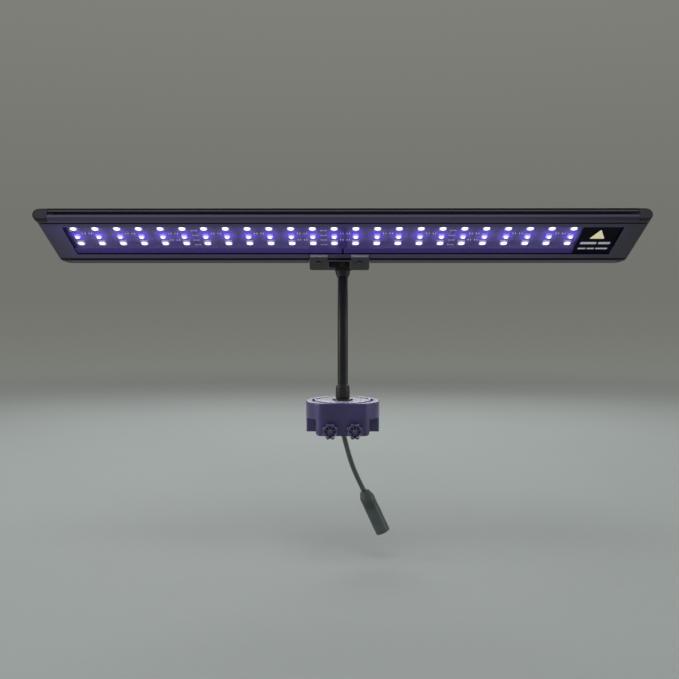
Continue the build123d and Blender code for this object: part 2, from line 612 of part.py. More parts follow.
# =====================================================================
# Power cable from the rear of the clamp, to a round supply socket
# =====================================================================
boot = cz(0, EXIT_Y, -1.0, 4.4, 2.6)
boot += cz(0, EXIT_Y, 3.5, 4.6, 3.6)
boot += cz(0, EXIT_Y, -0.4, 0.95, 3.9)
boot += cz(0, EXIT_Y, -9.0, -0.4, 2.35, 3.3)
boot -= cz(0, EXIT_Y, -12, 8, CABLE_R + 0.03)
save("strain_relief", boot)

CAB = [(0, EXIT_Y, -9.4), (1.7, EXIT_Y, -20.0), (7.6, EXIT_Y, -40.0), (12.6, EXIT_Y, -51.6), (20.0, EXIT_Y, -67.0)]
path = Wire([
    Line((0, EXIT_Y, 4.9), CAB[0]),
    Spline(*CAB, tangents=[(0, 0, -1), (0.42, 0, -0.907)]),
])
cable = sweep(Plane(origin=(0, EXIT_Y, 4.9), z_dir=(0, 0, -1)) * Circle(CABLE_R), path=path)
save("power_cable", cable)

leads = tube_path([(0, 0, 4.6), (0, 0, 2.75), (0, 14.6, 2.75)], 0.75, 1.6)
save("supply_leads", leads)

d = (0.42, 0.907)
ang = degrees(atan2(d[0], d[1]))
# socket axes: local -Z runs along the cable's end direction
SOCK = Location((20.0, EXIT_Y, -67.0), (0, -ang, 0))
sock = cz(0, 0, -26.0, 4.0, 5.5) + cz(0, 0, 4.0, 9.0, 5.5, 3.4)
sock = fillet([e for e in sock.edges().filter_by(GeomType.CIRCLE) if abs(e.center().Z + 26.0) < 0.1], 0.8)
for i in range(4):
    sock -= cz(0, 0, 0.2 - i * 1.6, 0.9 - i * 1.6, 6.5) - cz(0, 0, 0.2 - i * 1.6, 0.9 - i * 1.6, 5.15)
sock -= cz(0, 0, -0.1, 12, CABLE_R + 0.15, CABLE_R + 0.9)
sock -= cz(0, 0, -30, -8.0, 4.0)
sock -= cz(0, 0, -8.5, 0, 1.4)
save("dc_socket_body", sock, SOCK)
sleeve = cz(0, 0, -25.2, -9.0, 3.95) - cz(0, 0, -30, -9.8, 3.2)
sleeve -= cz(0, 0, -12, -5, 1.4)
save("dc_socket_sleeve", sleeve, SOCK)
pin = cz(0, 0, -23.5, -1.2, 1.05)
pin = fillet([e for e in pin.edges().filter_by(GeomType.CIRCLE) if e.center().Z < -23.4], 0.5)
save("dc_socket_pin", pin, SOCK)
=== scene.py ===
import json
import math

import bmesh
import bpy
from mathutils import Matrix, Vector

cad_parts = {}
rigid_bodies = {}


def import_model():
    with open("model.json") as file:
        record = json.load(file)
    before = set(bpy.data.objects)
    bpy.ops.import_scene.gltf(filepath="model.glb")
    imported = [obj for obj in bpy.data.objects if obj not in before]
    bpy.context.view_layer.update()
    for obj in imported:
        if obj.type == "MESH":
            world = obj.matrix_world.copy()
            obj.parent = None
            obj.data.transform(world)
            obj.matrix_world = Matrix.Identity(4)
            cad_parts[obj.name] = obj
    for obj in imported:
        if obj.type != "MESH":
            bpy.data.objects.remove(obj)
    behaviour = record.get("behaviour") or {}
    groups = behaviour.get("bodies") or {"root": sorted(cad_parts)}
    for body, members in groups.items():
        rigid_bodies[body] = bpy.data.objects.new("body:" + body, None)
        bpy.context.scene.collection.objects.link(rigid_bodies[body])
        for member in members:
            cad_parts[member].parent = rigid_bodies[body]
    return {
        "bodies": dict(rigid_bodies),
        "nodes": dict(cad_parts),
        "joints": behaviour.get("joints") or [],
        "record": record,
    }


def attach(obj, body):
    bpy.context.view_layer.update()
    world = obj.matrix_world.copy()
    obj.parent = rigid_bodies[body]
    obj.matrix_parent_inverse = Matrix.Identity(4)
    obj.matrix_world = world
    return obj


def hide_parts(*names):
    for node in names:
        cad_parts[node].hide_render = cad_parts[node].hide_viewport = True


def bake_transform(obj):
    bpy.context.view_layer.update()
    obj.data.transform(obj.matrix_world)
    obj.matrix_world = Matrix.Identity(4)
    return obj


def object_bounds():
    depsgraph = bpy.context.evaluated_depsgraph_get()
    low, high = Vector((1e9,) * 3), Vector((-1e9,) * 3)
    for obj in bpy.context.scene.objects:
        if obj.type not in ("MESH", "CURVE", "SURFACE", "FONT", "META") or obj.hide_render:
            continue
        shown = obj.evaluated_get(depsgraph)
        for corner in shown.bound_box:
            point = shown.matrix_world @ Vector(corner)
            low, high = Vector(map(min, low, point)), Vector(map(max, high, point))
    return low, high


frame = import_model()
NODES = frame["nodes"]
cad_lo, cad_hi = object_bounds()
scene = bpy.context.scene
MM = 0.001

# ---------------------------------------------------------------------------
# The head's own axes: x along it, y across it (0 at the rear edge, negative
# towards the front) and z up through it from the underside
# ---------------------------------------------------------------------------
TILT = math.radians(26.24)
HEAD_Y, HEAD_Z = 11.08, 114.2
HEAD_LENGTH, HEAD_WIDTH, HEAD_THICK = 420.0, 61.2, 8.8
HEAD_FRAME = Matrix.Translation((0, HEAD_Y, HEAD_Z)) @ Matrix.Rotation(-TILT, 4, "X")
WORLD_FRAME = Matrix.Identity(4)

# Emitters stand in columns along x and three rows across y, on four boards
FIRST_COLUMN_X, COLUMN_PITCH = -189.6, 15.3
BOARDS, COLUMNS_PER_BOARD = 4, 6
FRONT_ROW, MIDDLE_ROW, REAR_ROW = -41.4, -30.5, -21.0
WHITE_ROWS = (FRONT_ROW, REAR_ROW)
BOARD_Z = 5.6  # underside of the boards


# ---------------------------------------------------------------------------
# Mesh helpers: a mesh is a pair (vertices, faces)
# ---------------------------------------------------------------------------
def make_object(name, mesh, space, sharp_angle):
    """Write a mesh, drawn in the axes of space, as a smooth-shaded object."""
    verts, faces = mesh
    data = bpy.data.meshes.new(name)
    data.from_pydata([tuple((space @ Vector(v)) * MM) for v in verts], [], [tuple(f) for f in faces])
    data.validate()
    bm = bmesh.new()
    bm.from_mesh(data)
    bmesh.ops.remove_doubles(bm, verts=bm.verts, dist=1e-8)
    bmesh.ops.recalc_face_normals(bm, faces=bm.faces)
    bm.to_mesh(data)
    bm.free()
    ob = bpy.data.objects.new(name, data)
    scene.collection.objects.link(ob)
    data.shade_smooth()
    data.set_sharp_from_angle(angle=math.radians(sharp_angle))
    return ob


def add_piece(name, mesh, material, slot, body="head", space=HEAD_FRAME, sharp=40, replaces=None):
    """Make an object that rides on a body, in place of the CAD piece it replaces."""
    ob = make_object(name, mesh, space, sharp)
    ob.data.materials.append(MATERIALS[material])
    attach(ob, body)
    if replaces:
        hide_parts(replaces)


def box(length, width, height, bevel, segments):
    bm = bmesh.new()
    bmesh.ops.create_cube(bm, size=1.0)
    for v in bm.verts:
        v.co = Vector((v.co.x * length, v.co.y * width, v.co.z * height))
    bmesh.ops.bevel(
        bm, geom=list(bm.edges), offset=bevel, segments=segments, profile=0.5, affect="EDGES"
    )
    bm.verts.ensure_lookup_table()
    bm.verts.index_update()
    verts = [tuple(v.co) for v in bm.verts]
    faces = [tuple(v.index for v in f.verts) for f in bm.faces]
    bm.free()
    return verts, faces


def revolve(profile, count):
    """Solid of revolution about Z from (radius, z) points that start and end on the axis."""
    verts, faces, rings = [], [], []
    for radius, z in profile:
        start = len(verts)
        if radius < 1e-6:
            verts.append((0, 0, z))
        else:
            angles = [2 * math.pi * i / count for i in range(count)]
            verts += [(radius * math.cos(a), radius * math.sin(a), z) for a in angles]
        rings.append(list(range(start, len(verts))))
    for low, high in zip(rings, rings[1:]):
        for i in range(count):
            j = (i + 1) % count
            if len(low) == 1:
                faces.append((low[0], high[j], high[i]))
            elif len(high) == 1:
                faces.append((low[i], low[j], high[0]))
            else:
                faces.append((low[i], low[j], high[j], high[i]))
    return verts, faces


def loft(loops, closed=False, flip_caps=False):
    """Skin equal loops of points. A closed loft joins last to first; an open one is capped."""
    count, total = len(loops[0]), len(loops)
    verts = [point for loop in loops for point in loop]
    faces = []
    for a in range(total if closed else total - 1):
        b = (a + 1) % total
        for i in range(count):
            j = (i + 1) % count
            faces.append((a * count + i, a * count + j, b * count + j, b * count + i))
    if not closed:
        first = list(range(count))
        last = list(range((total - 1) * count, total * count))
        (first if flip_caps else last).reverse()
        faces += [tuple(first), tuple(last)]
    return verts, faces


def prism(outline, z_low, z_high):
    return loft([[(x, y, z) for x, y in outline] for z in (z_low, z_high)], flip_caps=True)


def moved(mesh, matrix):
    return [tuple(matrix @ Vector(v)) for v in mesh[0]], mesh[1]


def shifted(mesh, x, y, z):
    return moved(mesh, Matrix.Translation((x, y, z)))


def merge(parts):
    verts, faces = [], []
    for part_verts, part_faces in parts:
        start = len(verts)
        verts += part_verts
        faces += [tuple(i + start for i in f) for f in part_faces]
    return verts, faces


def rounded(corners, radius):
    """Outline with each corner replaced by a short curve."""
    steps = 5
    outline = []
    for i in range(len(corners)):
        before, corner = Vector(corners[i - 1]), Vector(corners[i])
        after = Vector(corners[(i + 1) % len(corners)])
        back, ahead = (before - corner).normalized(), (after - corner).normalized()
        cut = radius / math.tan(back.angle(ahead) / 2)
        start, end = corner + back * cut, corner + ahead * cut
        for j in range(steps + 1):
            t = j / steps
            outline.append(tuple((1 - t) ** 2 * start + 2 * t * (1 - t) * corner + t * t * end))
    return outline


# ---------------------------------------------------------------------------
# Shader node helpers
# ---------------------------------------------------------------------------
MATERIALS = {}


class NodeGraph:
    def __init__(self, tree):
        self.tree = tree

    def feed(self, socket, value):
        """Link a socket, or set its value; colours get an alpha of 1."""
        if isinstance(value, bpy.types.NodeSocket):
            self.tree.links.new(value, socket)
        else:
            socket.default_value = (*value, 1) if socket.type == "RGBA" else value

    def add(self, kind, *ordered, setup=None, **named):
        """Add a node: setup holds its properties, the rest its inputs by order or name."""
        node = self.tree.nodes.new("ShaderNode" + kind)
        for name, value in (setup or {}).items():
            setattr(node, name, value)
        for socket, value in zip(node.inputs, ordered):
            self.feed(socket, value)
        for name, value in named.items():
            self.feed(node.inputs[name.replace("_", " ")], value)
        return node

    def math(self, operation, first, second=0.0, *third, clamp=False):
        setup = {"operation": operation, "use_clamp": clamp}
        return self.add("Math", first, second, *third, setup=setup).outputs[0]

    def times(self, result, *others):
        for other in others:
            result = self.math("MULTIPLY", result, other)
        return result

    def plus(self, result, *others):
        for other in others:
            result = self.math("ADD", result, other)
        return result

    def weighted(self, first, second, shares):
        return self.plus(self.times(first, shares[0]), self.times(second, shares[1]))

    def squares(self, first, second):
        return self.plus(self.times(first, first), self.times(second, second))

    def distance(self, value, centre):
        return self.math("ABSOLUTE", self.plus(value, -centre))

    def beyond(self, value, limit):
        """How far a value is past a limit, or 0."""
        return self.math("MAXIMUM", self.math("SUBTRACT", value, limit), 0.0)

    def vector(self, operation, *vectors, result="Vector", **named):
        setup = {"operation": operation}
        return self.add("VectorMath", *vectors, setup=setup, **named).outputs[result]

    def split(self, vector):
        return self.add("SeparateXYZ", vector).outputs

    def remap(self, value, to, over=(0.0, 1.0), curve="LINEAR"):
        """Map the range over to the range to."""
        return self.add(
            "MapRange", Value=value, From_Min=over[0], From_Max=over[1],
            To_Min=to[0], To_Max=to[1], setup={"interpolation_type": curve},
        ).outputs[0]

    def rise(self, value, over):
        return self.remap(value, to=(0.0, 1.0), over=over)

    def fall(self, value, over=(0.0, 1.0)):
        return self.remap(value, to=(1.0, 0.0), over=over)

    def band(self, value, up, down):
        """1 between two soft edges."""
        return self.times(self.rise(value, over=up), self.fall(value, over=down))

    def spread(self, noise, to=(0.0, 1.0)):
        """Map the middle of a noise's range, where most of it lies."""
        return self.remap(noise, to=to, over=(0.3, 0.7))

    def mix(self, factor, first, second):
        node = self.add("Mix", setup={"data_type": "RGBA"})
        for index, value in ((0, factor), (6, first), (7, second)):
            self.feed(node.inputs[index], value)
        return node.outputs[2]


class Material(NodeGraph):
    """A new material, kept in MATERIALS under its name."""

    def __init__(self, name):
        material = bpy.data.materials.new(name)
        material.use_nodes = True
        material.node_tree.nodes.clear()
        MATERIALS[name] = material
        super().__init__(material.node_tree)
        self.surface = self.add("OutputMaterial").inputs[0]
        self.place = self.add("TexCoord").outputs["Object"]

    def principled(self, **inputs):
        self.bsdf = self.add("BsdfPrincipled", **inputs)
        self.feed(self.surface, self.bsdf.outputs[0])

    def head_place(self):
        """Coordinates in the head's axes, in millimetres."""
        offset = self.vector("SUBTRACT", self.place, (0, HEAD_Y * MM, HEAD_Z * MM))
        turn = {"rotation_type": "X_AXIS"}
        turned = self.add("VectorRotate", Vector=offset, Angle=TILT, setup=turn).outputs[0]
        return self.vector("SCALE", turned, Scale=1000.0)

    def noise(self, scale=1.0, detail=3.0, rough=0.55, place=None):
        place = self.place if place is None else place
        return self.add(
            "TexNoise", Vector=place, Scale=scale, Detail=detail, Roughness=rough
        ).outputs["Fac"]

    def bump(self, height, strength, depth_mm, round_mm=0.0):
        """Bump the surface, on edges rounded in the shading by round_mm."""
        node = self.add("Bump", Strength=strength, Distance=depth_mm * MM, Height=height)
        if round_mm:
            bevel = self.add("Bevel", Radius=round_mm * MM, setup={"samples": 4})
            self.feed(node.inputs["Normal"], bevel.outputs[0])
        self.feed(self.bsdf.inputs["Normal"], node.outputs[0])

    def off_column(self, x):
        """Signed distance along x from the nearest column of emitters."""
        from_first = self.math("SUBTRACT", x, FIRST_COLUMN_X)
        return self.math("WRAP", from_first, COLUMN_PITCH / 2, -COLUMN_PITCH / 2)


def srgb(*channels):
    """sRGB 0-255 to scene-linear."""
    parts = [c / 255 for c in channels]
    return tuple(p / 12.92 if p <= 0.04045 else ((p + 0.055) / 1.055) ** 2.4 for p in parts)


# ---------------------------------------------------------------------------
# Materials
# ---------------------------------------------------------------------------
def plastic(name, dark, light, rough=(0.35, 0.5), grain=1800.0, bump=0.12, spec=0.5, coat=0.0,
            speckle=0.0, round_mm=0.25):
    mat = Material(name)
    mottle = mat.noise(scale=45.0, detail=2.0)
    fine = mat.noise(scale=grain, rough=0.6)
    color = mat.mix(mat.spread(mottle), dark, light)
    if speckle:
        dots = mat.rise(mat.noise(scale=2600.0, detail=1.0), over=(0.58, 0.66))
        dot_color = tuple(min(1, c * 4 + 0.05) for c in light)
        color = mat.mix(mat.times(dots, speckle), color, dot_color)
    coating = {"Coat_Weight": coat, "Coat_Roughness": 0.18} if coat else {}
    mat.principled(
        Base_Color=color, Roughness=mat.spread(fine, to=rough), Specular_IOR_Level=spec, **coating
    )
    mat.bump(fine, strength=bump, depth_mm=0.04, round_mm=round_mm)


def metal(name, dark, light, rough, grain, bump, metallic=1.0):
    mat = Material(name)
    streak_place = mat.vector("MULTIPLY", mat.place, (grain, grain, grain))
    streak = mat.noise(place=streak_place, detail=4.0, rough=0.65)
    mottle = mat.noise(scale=70.0, detail=2.0)
    mat.principled(
        Base_Color=mat.mix(mat.spread(mottle), dark, light),
        Metallic=metallic,
        Roughness=mat.spread(streak, to=rough),
    )
    mat.bump(streak, strength=bump, depth_mm=0.03, round_mm=0.12)


def make_anodised():
    """Satin black extrusion with lengthwise grain, a faint violet cast from the light, painted
    highlights and painted shade on its front face, and painted glows.
    """
    mat = Material("anodised_black")
    place = mat.vector("MULTIPLY", mat.head_place(), (0.001, 0.001, 0.001))
    # streaks drawn out along x, with fine grit and slow mottling
    streak_place = mat.vector("MULTIPLY", place, (14, 3600, 3600))
    streak = mat.noise(place=streak_place, detail=4.0, rough=0.7)
    grit = mat.noise(scale=5200.0, detail=2.0)
    mottle = mat.noise(place=mat.vector("MULTIPLY", place, (8, 60, 60)), detail=2.0)
    color = mat.mix(mat.spread(mottle), srgb(54, 52, 62), srgb(66, 63, 77))
    grain = mat.weighted(streak, grit, shares=(0.75, 0.25))
    x, y, z = mat.split(mat.head_place())

    # front face: two pale bands of painted highlight, and dark lines of painted shade at its top
    # corner and half way up
    front = mat.fall(y, over=(-58.2, -57.2))
    lip_highlight = mat.times(mat.band(z, up=(6.2, 6.5), down=(7.4, 7.8)), front)
    color = mat.mix(lip_highlight, color, srgb(108, 106, 116))
    half_way_shade = mat.band(z, up=(3.75, 4.05), down=(4.6, 4.9))
    # dark holds the painted shade; where it lies, the metal and the specular are lowered too
    dark = mat.times(mat.math("MAXIMUM", mat.rise(z, over=(7.45, 7.95)), half_way_shade), front)
    face = mat.times(mat.band(z, up=(1.7, 2.4), down=(3.55, 3.8)), front)
    color = mat.mix(face, color, srgb(104, 102, 113))
    color = mat.mix(dark, color, srgb(5, 5, 6))

    # painted shade in and beside the seams along the underside, by the front and rear rails
    front_seam_shade = mat.fall(mat.distance(y, centre=-56.15), over=(0.55, 1.25))
    rear_seam_shade = mat.fall(mat.distance(y, centre=-5.2), over=(0.7, 1.5))
    seam_shade = mat.math("MAXIMUM", front_seam_shade, rear_seam_shade)
    seam_shade = mat.times(seam_shade, mat.fall(z, over=(1.1, 1.5)))
    color = mat.mix(seam_shade, color, srgb(3, 3, 5))
    dark = mat.math("MAXIMUM", dark, seam_shade)

    # inside walls of the recess catch the emitters' light
    inside = mat.times(
        mat.band(z, up=(3.0, 4.2), down=(6.95, 7.1)),
        mat.band(y, up=(-57.2, -56.6), down=(-4.3, -3.9)),
        mat.fall(mat.math("ABSOLUTE", x), over=(198.0, 202.0)),
    )
    # so does the underside of the front rail, less towards the label end
    under = mat.times(
        mat.fall(z, over=(2.2, 3.4)),
        mat.fall(y, over=(-56.8, -56.4)),
        mat.remap(x, to=(1.0, 0.25), over=(110.0, 200.0)),
    )
    # and a grey painted glow on the rim behind the rear seam, which gets little light
    rim = mat.times(mat.rise(y, over=(-4.2, -3.6)), mat.fall(z, over=(3.0, 5.0)))
    glows = [
        mat.vector("SCALE", tint, Scale=amount)
        for tint, amount in (
            ((0.14, 0.095, 0.44), mat.times(inside, 0.28)),
            ((0.017, 0.014, 0.036), under),
            ((0.021, 0.0205, 0.025), rim),
        )
    ]
    mat.principled(
        Base_Color=color,
        Metallic=mat.times(mat.fall(dark), 0.6),
        Roughness=mat.remap(grain, to=(0.34, 0.5), over=(0.35, 0.65)),
        Anisotropic=0.3,
        Specular_IOR_Level=mat.remap(dark, to=(0.5, 0.1)),
        Emission_Color=mat.vector("ADD", mat.vector("ADD", glows[0], glows[1]), glows[2]),
        Emission_Strength=1.0,
    )
    mat.bump(grain, strength=0.16, depth_mm=0.03, round_mm=0.15)


def make_bezel():
    """Black frame round the window, faintly lit from the window's edges by a painted glow, with
    painted shade along its own edges.
    """
    mat = Material("bezel_black")
    fine = mat.noise(scale=3000.0, rough=0.6)
    peel = mat.noise(scale=700.0, detail=2.0)
    x, y, _ = mat.split(mat.head_place())
    # scattered light fades away from the window, towards the label and towards the rear
    across = mat.beyond(mat.distance(y, centre=-30.7), limit=17.9)
    along = mat.beyond(mat.math("ABSOLUTE", x), limit=194.0)
    away = mat.plus(across, mat.times(along, 0.75))
    fade = mat.math("EXPONENT", mat.times(away, -0.085))
    label_fade = mat.remap(x, to=(1.0, 0.12), over=(120.0, 205.0))
    rear_fade = mat.remap(y, to=(1.5, 0.8), over=(-56.0, -8.0))
    # painted shade: the long edges, by the seams, and the cut edge round the window are dark
    edge = mat.math(
        "MAXIMUM", mat.fall(y, over=(-55.6, -54.8)), mat.rise(y, over=(-7.5, -6.7))
    )
    z = mat.split(mat.head_place())[2]
    edge = mat.math("MAXIMUM", edge, mat.rise(z, over=(0.06, 0.2)))
    color = mat.mix(mat.spread(fine), srgb(48, 47, 52), srgb(56, 55, 61))
    strength = 0.32
    mat.principled(
        Base_Color=mat.mix(edge, color, srgb(4, 4, 6)),
        Roughness=mat.spread(fine, to=(0.42, 0.54)),
        Metallic=0.1,
        Specular_IOR_Level=mat.remap(edge, to=(0.4, 0.05)),
        Emission_Color=(0.12, 0.085, 0.36),
        Emission_Strength=mat.times(fade, label_fade, 0.5, rear_fade, mat.fall(edge), strength),
    )
    relief = mat.weighted(fine, peel, shares=(0.5, 0.5))
    mat.bump(relief, strength=0.14, depth_mm=0.04, round_mm=0.12)


def make_board():
    """Dark board with pale lines, lit by a halo round each emitter."""
    mat = Material("board_mask")
    x, y, _ = mat.split(mat.head_place())
    column_offset = mat.off_column(x)
    column_square = mat.times(column_offset, column_offset)

    def halo(row, radius):
        offset = mat.times(mat.math("SUBTRACT", y, row), 0.72)  # stretched across the head
        square = mat.plus(column_square, mat.times(offset, offset))
        return mat.math("EXPONENT", mat.times(square, -1.0 / (radius * radius)))

    violet = halo(MIDDLE_ROW, radius=4.6)
    white = mat.plus(halo(FRONT_ROW, radius=3.2), halo(REAR_ROW, radius=3.2))
    on_board = mat.band(x, up=(-199.0, -190.0), down=(166.0, 176.0))
    lines = mat.add(
        "TexBrick",
        Vector=mat.vector("MULTIPLY", mat.head_place(), (0.131, 0.26, 0.0)),
        Scale=1.0, Mortar_Size=0.035, Mortar_Smooth=0.1, Row_Height=0.5, Brick_Width=1.0,
    ).outputs["Fac"]
    cells = mat.noise(scale=900.0, detail=2.0)
    uneven = mat.spread(mat.noise(scale=260.0, detail=2.0), to=(0.78, 1.12))
    uneven = mat.times(uneven, on_board)

    # light between board and cover: an even part, more along the middle and at the rear
    middle = mat.math("POWER", mat.distance(y, centre=-29.0), 2.0)
    middle = mat.math("EXPONENT", mat.times(middle, -1.0 / 150.0))
    rear = mat.rise(y, over=(-19.5, -14.5))
    ambient = mat.plus(0.06, mat.weighted(middle, rear, shares=(0.07, 0.07)))
    violet_share, white_share = 0.85, 0.09
    total = mat.plus(
        mat.times(ambient, uneven),
        mat.times(violet, uneven, violet_share),
        mat.times(white, uneven, white_share),
    )
    # the tint deepens close to the violet emitters
    near_violet = mat.math("MULTIPLY", violet, 1.3, clamp=True)
    mat.principled(
        Base_Color=mat.mix(lines, srgb(14, 12, 22), srgb(28, 25, 40)),
        Roughness=mat.spread(cells, to=(0.36, 0.5)),
        Specular_IOR_Level=0.35,
        Emission_Color=mat.mix(near_violet, (0.27, 0.195, 0.95), (0.11, 0.06, 0.88)),
        Emission_Strength=mat.times(total, mat.remap(lines, to=(1.0, 1.2))),
    )
    mat.bump(mat.weighted(lines, cells, shares=(1.0, 0.2)), strength=0.25, depth_mm=0.03)


def make_emitter(name, core, rim, power, core_radius, rows):
    """Lit face: a bright core that falls to the rim colour, with a fine grain."""
    mat = Material(name)
    x, y, _ = mat.split(mat.head_place())
    column_offset = mat.off_column(x)
    nearest = None
    for row in rows:
        square = mat.squares(column_offset, mat.math("SUBTRACT", y, row))
        nearest = square if nearest is None else mat.math("MINIMUM", nearest, square)
    radius = mat.math("SQRT", nearest)
    grain = mat.noise(scale=6000.0, detail=2.0)
    outward = mat.rise(radius, over=(core_radius * 0.55, core_radius * 1.5))
    mat.principled(
        Base_Color=(0.85, 0.84, 0.9),
        Roughness=0.4,
        Emission_Color=mat.mix(outward, core, rim),
        Emission_Strength=mat.times(
            mat.remap(outward, to=(power, power * 0.22)), mat.spread(grain, to=(0.92, 1.08))
        ),
    )
    mat.bump(grain, strength=0.1, depth_mm=0.02)


def make_lens():
    """Clear cover with a faint smeared gloss."""
    mat = Material("lens_clear")
    smear = mat.noise(place=mat.vector("MULTIPLY", mat.place, (40, 140, 140)))
    gloss_rough = mat.spread(smear, to=(0.03, 0.12))
    glossy = mat.add("BsdfGlossy", Color=(0.9, 0.9, 1.0), Roughness=gloss_rough)
    clear = mat.add("BsdfTransparent", Color=(0.96, 0.96, 1.0))
    fresnel = mat.add("Fresnel", IOR=1.45).outputs[0]
    amount = mat.times(fresnel, mat.spread(smear, to=(0.07, 0.13)))
    cover = mat.add("MixShader", amount, clear.outputs[0], glossy.outputs[0])
    mat.feed(mat.surface, cover.outputs[0])


def make_wire(name, dark, light):
    """Insulated wire, faintly lit where it runs inside the head."""
    mat = Material(name)
    grain = mat.noise(scale=1500.0)
    z = mat.split(mat.head_place())[2]
    y = mat.split(mat.head_place())[1]
    inside = mat.times(mat.band(z, up=(2.4, 3.0), down=(7.0, 7.4)), mat.fall(y, over=(-3.6, -3.0)))
    mat.principled(
        Base_Color=mat.mix(grain, dark, light),
        Roughness=mat.spread(grain, to=(0.35, 0.5)),
        Emission_Color=(0.14, 0.095, 0.42),
        Emission_Strength=mat.times(inside, 0.22),
    )
    mat.bump(grain, strength=0.1, depth_mm=0.03)


def make_bracket():
    """Powder-coated pressing; the narrow front edges of the ears get a painted highlight."""
    mat = Material("bracket_black")
    mottle = mat.noise(scale=45.0, detail=2.0)
    fine = mat.noise(scale=2600.0, rough=0.6)
    geometry = mat.add("NewGeometry").outputs
    color = mat.mix(mat.spread(mottle), srgb(33, 33, 32), srgb(42, 42, 41))
    front_up = (0.0, -math.cos(TILT), math.sin(TILT))  # the head's front direction
    facing = mat.vector("DOT_PRODUCT", geometry["Normal"], front_up, result="Value")
    off_centre = mat.distance(mat.split(mat.place)[0], centre=-0.0026)
    # painted highlight on faces turned to the head's front, on the ears either side of the middle
    edge = mat.times(
        mat.rise(facing, over=(0.80, 0.96)), mat.rise(off_centre, over=(0.0077, 0.0081))
    )
    color = mat.mix(edge, color, srgb(178, 175, 192))
    patches = mat.remap(mat.noise(scale=420.0), to=(0.0, 0.35), over=(0.35, 0.7))
    worn = mat.times(mat.rise(geometry["Pointiness"], over=(0.52, 0.6)), patches)
    mat.principled(
        Base_Color=mat.mix(worn, color, srgb(96, 96, 98)),
        Roughness=mat.spread(fine, to=(0.38, 0.5)),
        Specular_IOR_Level=0.45,
    )
    mat.bump(fine, strength=0.3, depth_mm=0.04, round_mm=0.3)


def make_label(name, dark, light, rough=0.4, spec=0.3, glow=0.0):
    mat = Material(name)
    fine = mat.noise(scale=2600.0)
    mottle = mat.noise(scale=90.0, detail=2.0)
    lit = {}
    # glow paints light onto the print, as an emission of its own colour
    if glow:
        lit = {"Emission_Color": mat.mix(mottle, dark, light), "Emission_Strength": glow}
    mat.principled(
        Base_Color=mat.mix(mottle, dark, light),
        Roughness=mat.spread(fine, to=(rough, rough + 0.14)),
        Specular_IOR_Level=spec,
        **lit,
    )
    mat.bump(fine, strength=0.06, depth_mm=0.02)


def make_disc():
    """Satin dark disc with fine turned rings, and a darker outer ring of painted shade for the gap
    round it.
    """
    mat = Material("disc_plastic")
    x, y, z = mat.split(mat.place)
    radius = mat.math("SQRT", mat.squares(x, y))
    ring_pitch = 0.00045
    rings = mat.math("SINE", mat.times(radius, 2 * math.pi / ring_pitch))
    fine = mat.noise(scale=2400.0)
    # painted shade on the outer ring, for the gap round the disc
    outer = mat.times(
        mat.rise(radius, over=(0.0188, 0.0191)), mat.fall(z, over=(0.01302, 0.01312))
    )
    color = mat.mix(fine, srgb(98, 97, 101), srgb(118, 117, 122))
    mat.principled(
        Base_Color=mat.mix(outer, color, srgb(16, 15, 20)),
        Roughness=mat.spread(fine, to=(0.24, 0.36)),
        Specular_IOR_Level=0.6,
        Coat_Weight=0.15,
        Coat_Roughness=0.2,
    )
    relief = mat.weighted(rings, fine, shares=(0.25, 0.75))
    mat.bump(relief, strength=0.12, depth_mm=0.03, round_mm=0.15)


def make_neck_sleeve():
    mat = Material("neck_sleeve")
    fine = mat.noise(scale=2200.0)
    mottle = mat.noise(scale=120.0, detail=2.0)
    mat.principled(
        Base_Color=mat.mix(mottle, srgb(17, 17, 16), srgb(24, 24, 23)),
        Roughness=mat.spread(fine, to=(0.30, 0.42)),
        Specular_IOR_Level=0.5,
    )
    mat.bump(fine, strength=0.12, depth_mm=0.03)


def make_knob_rim():
    """Moulded rim and spokes in a paler copy of the knob's plastic, as painted light, with painted
    glints where bevels face the two upper front corners.
    """
    mat = Material("knob_rim")
    grain = mat.noise(scale=2400.0, rough=0.6)
    normal = mat.add("NewGeometry").outputs["Normal"]
    glints = []
    for direction, weight in (((-0.48, -0.62, 0.62), 1.0), ((0.52, -0.62, 0.58), 0.5)):
        facing = mat.vector("DOT_PRODUCT", normal, direction, result="Value")
        glints.append(mat.times(mat.rise(facing, over=(0.93, 0.985)), weight))
    mat.principled(
        Base_Color=mat.mix(grain, srgb(66, 61, 96), srgb(84, 78, 118)),
        Roughness=mat.spread(grain, to=(0.16, 0.26)),
        Specular_IOR_Level=0.6,
        Emission_Color=(0.78, 0.78, 0.92),
        Emission_Strength=mat.times(mat.plus(*glints), 0.85),
    )
    mat.bump(grain, strength=0.06, depth_mm=0.03)


def make_cap_nose():
    """The cap's nose, darker round its turned edge with painted shade."""
    mat = Material("cap_nose")
    x, _, z = mat.split(mat.head_place())
    out = mat.beyond(mat.math("ABSOLUTE", x), limit=207.0)
    up = mat.math("SUBTRACT", z, HEAD_THICK / 2)
    radius = mat.math("SQRT", mat.squares(out, up))
    fine = mat.noise(scale=2200.0, rough=0.6)
    color = mat.mix(fine, srgb(46, 45, 50), srgb(60, 58, 64))
    mat.principled(
        Base_Color=mat.mix(mat.rise(radius, over=(3.3, 4.1)), color, srgb(8, 8, 10)),
        Roughness=mat.spread(fine, to=(0.4, 0.55)),
        Specular_IOR_Level=0.4,
    )
    mat.bump(fine, strength=0.3, depth_mm=0.04, round_mm=0.3)


def make_board_screw():
    mat = Material("board_screw")
    grain = mat.noise(scale=900.0)
    # the violet emission is a painted glow, for the emitters' light on the screws
    mat.principled(
        Base_Color=mat.mix(grain, srgb(70, 66, 90), srgb(96, 92, 120)),
        Metallic=0.7,
        Roughness=mat.spread(grain, to=(0.35, 0.5)),
        Emission_Color=(0.30, 0.25, 0.70),
        Emission_Strength=mat.spread(grain, to=(0.06, 0.10)),
    )
    mat.bump(grain, strength=0.2, depth_mm=0.03)


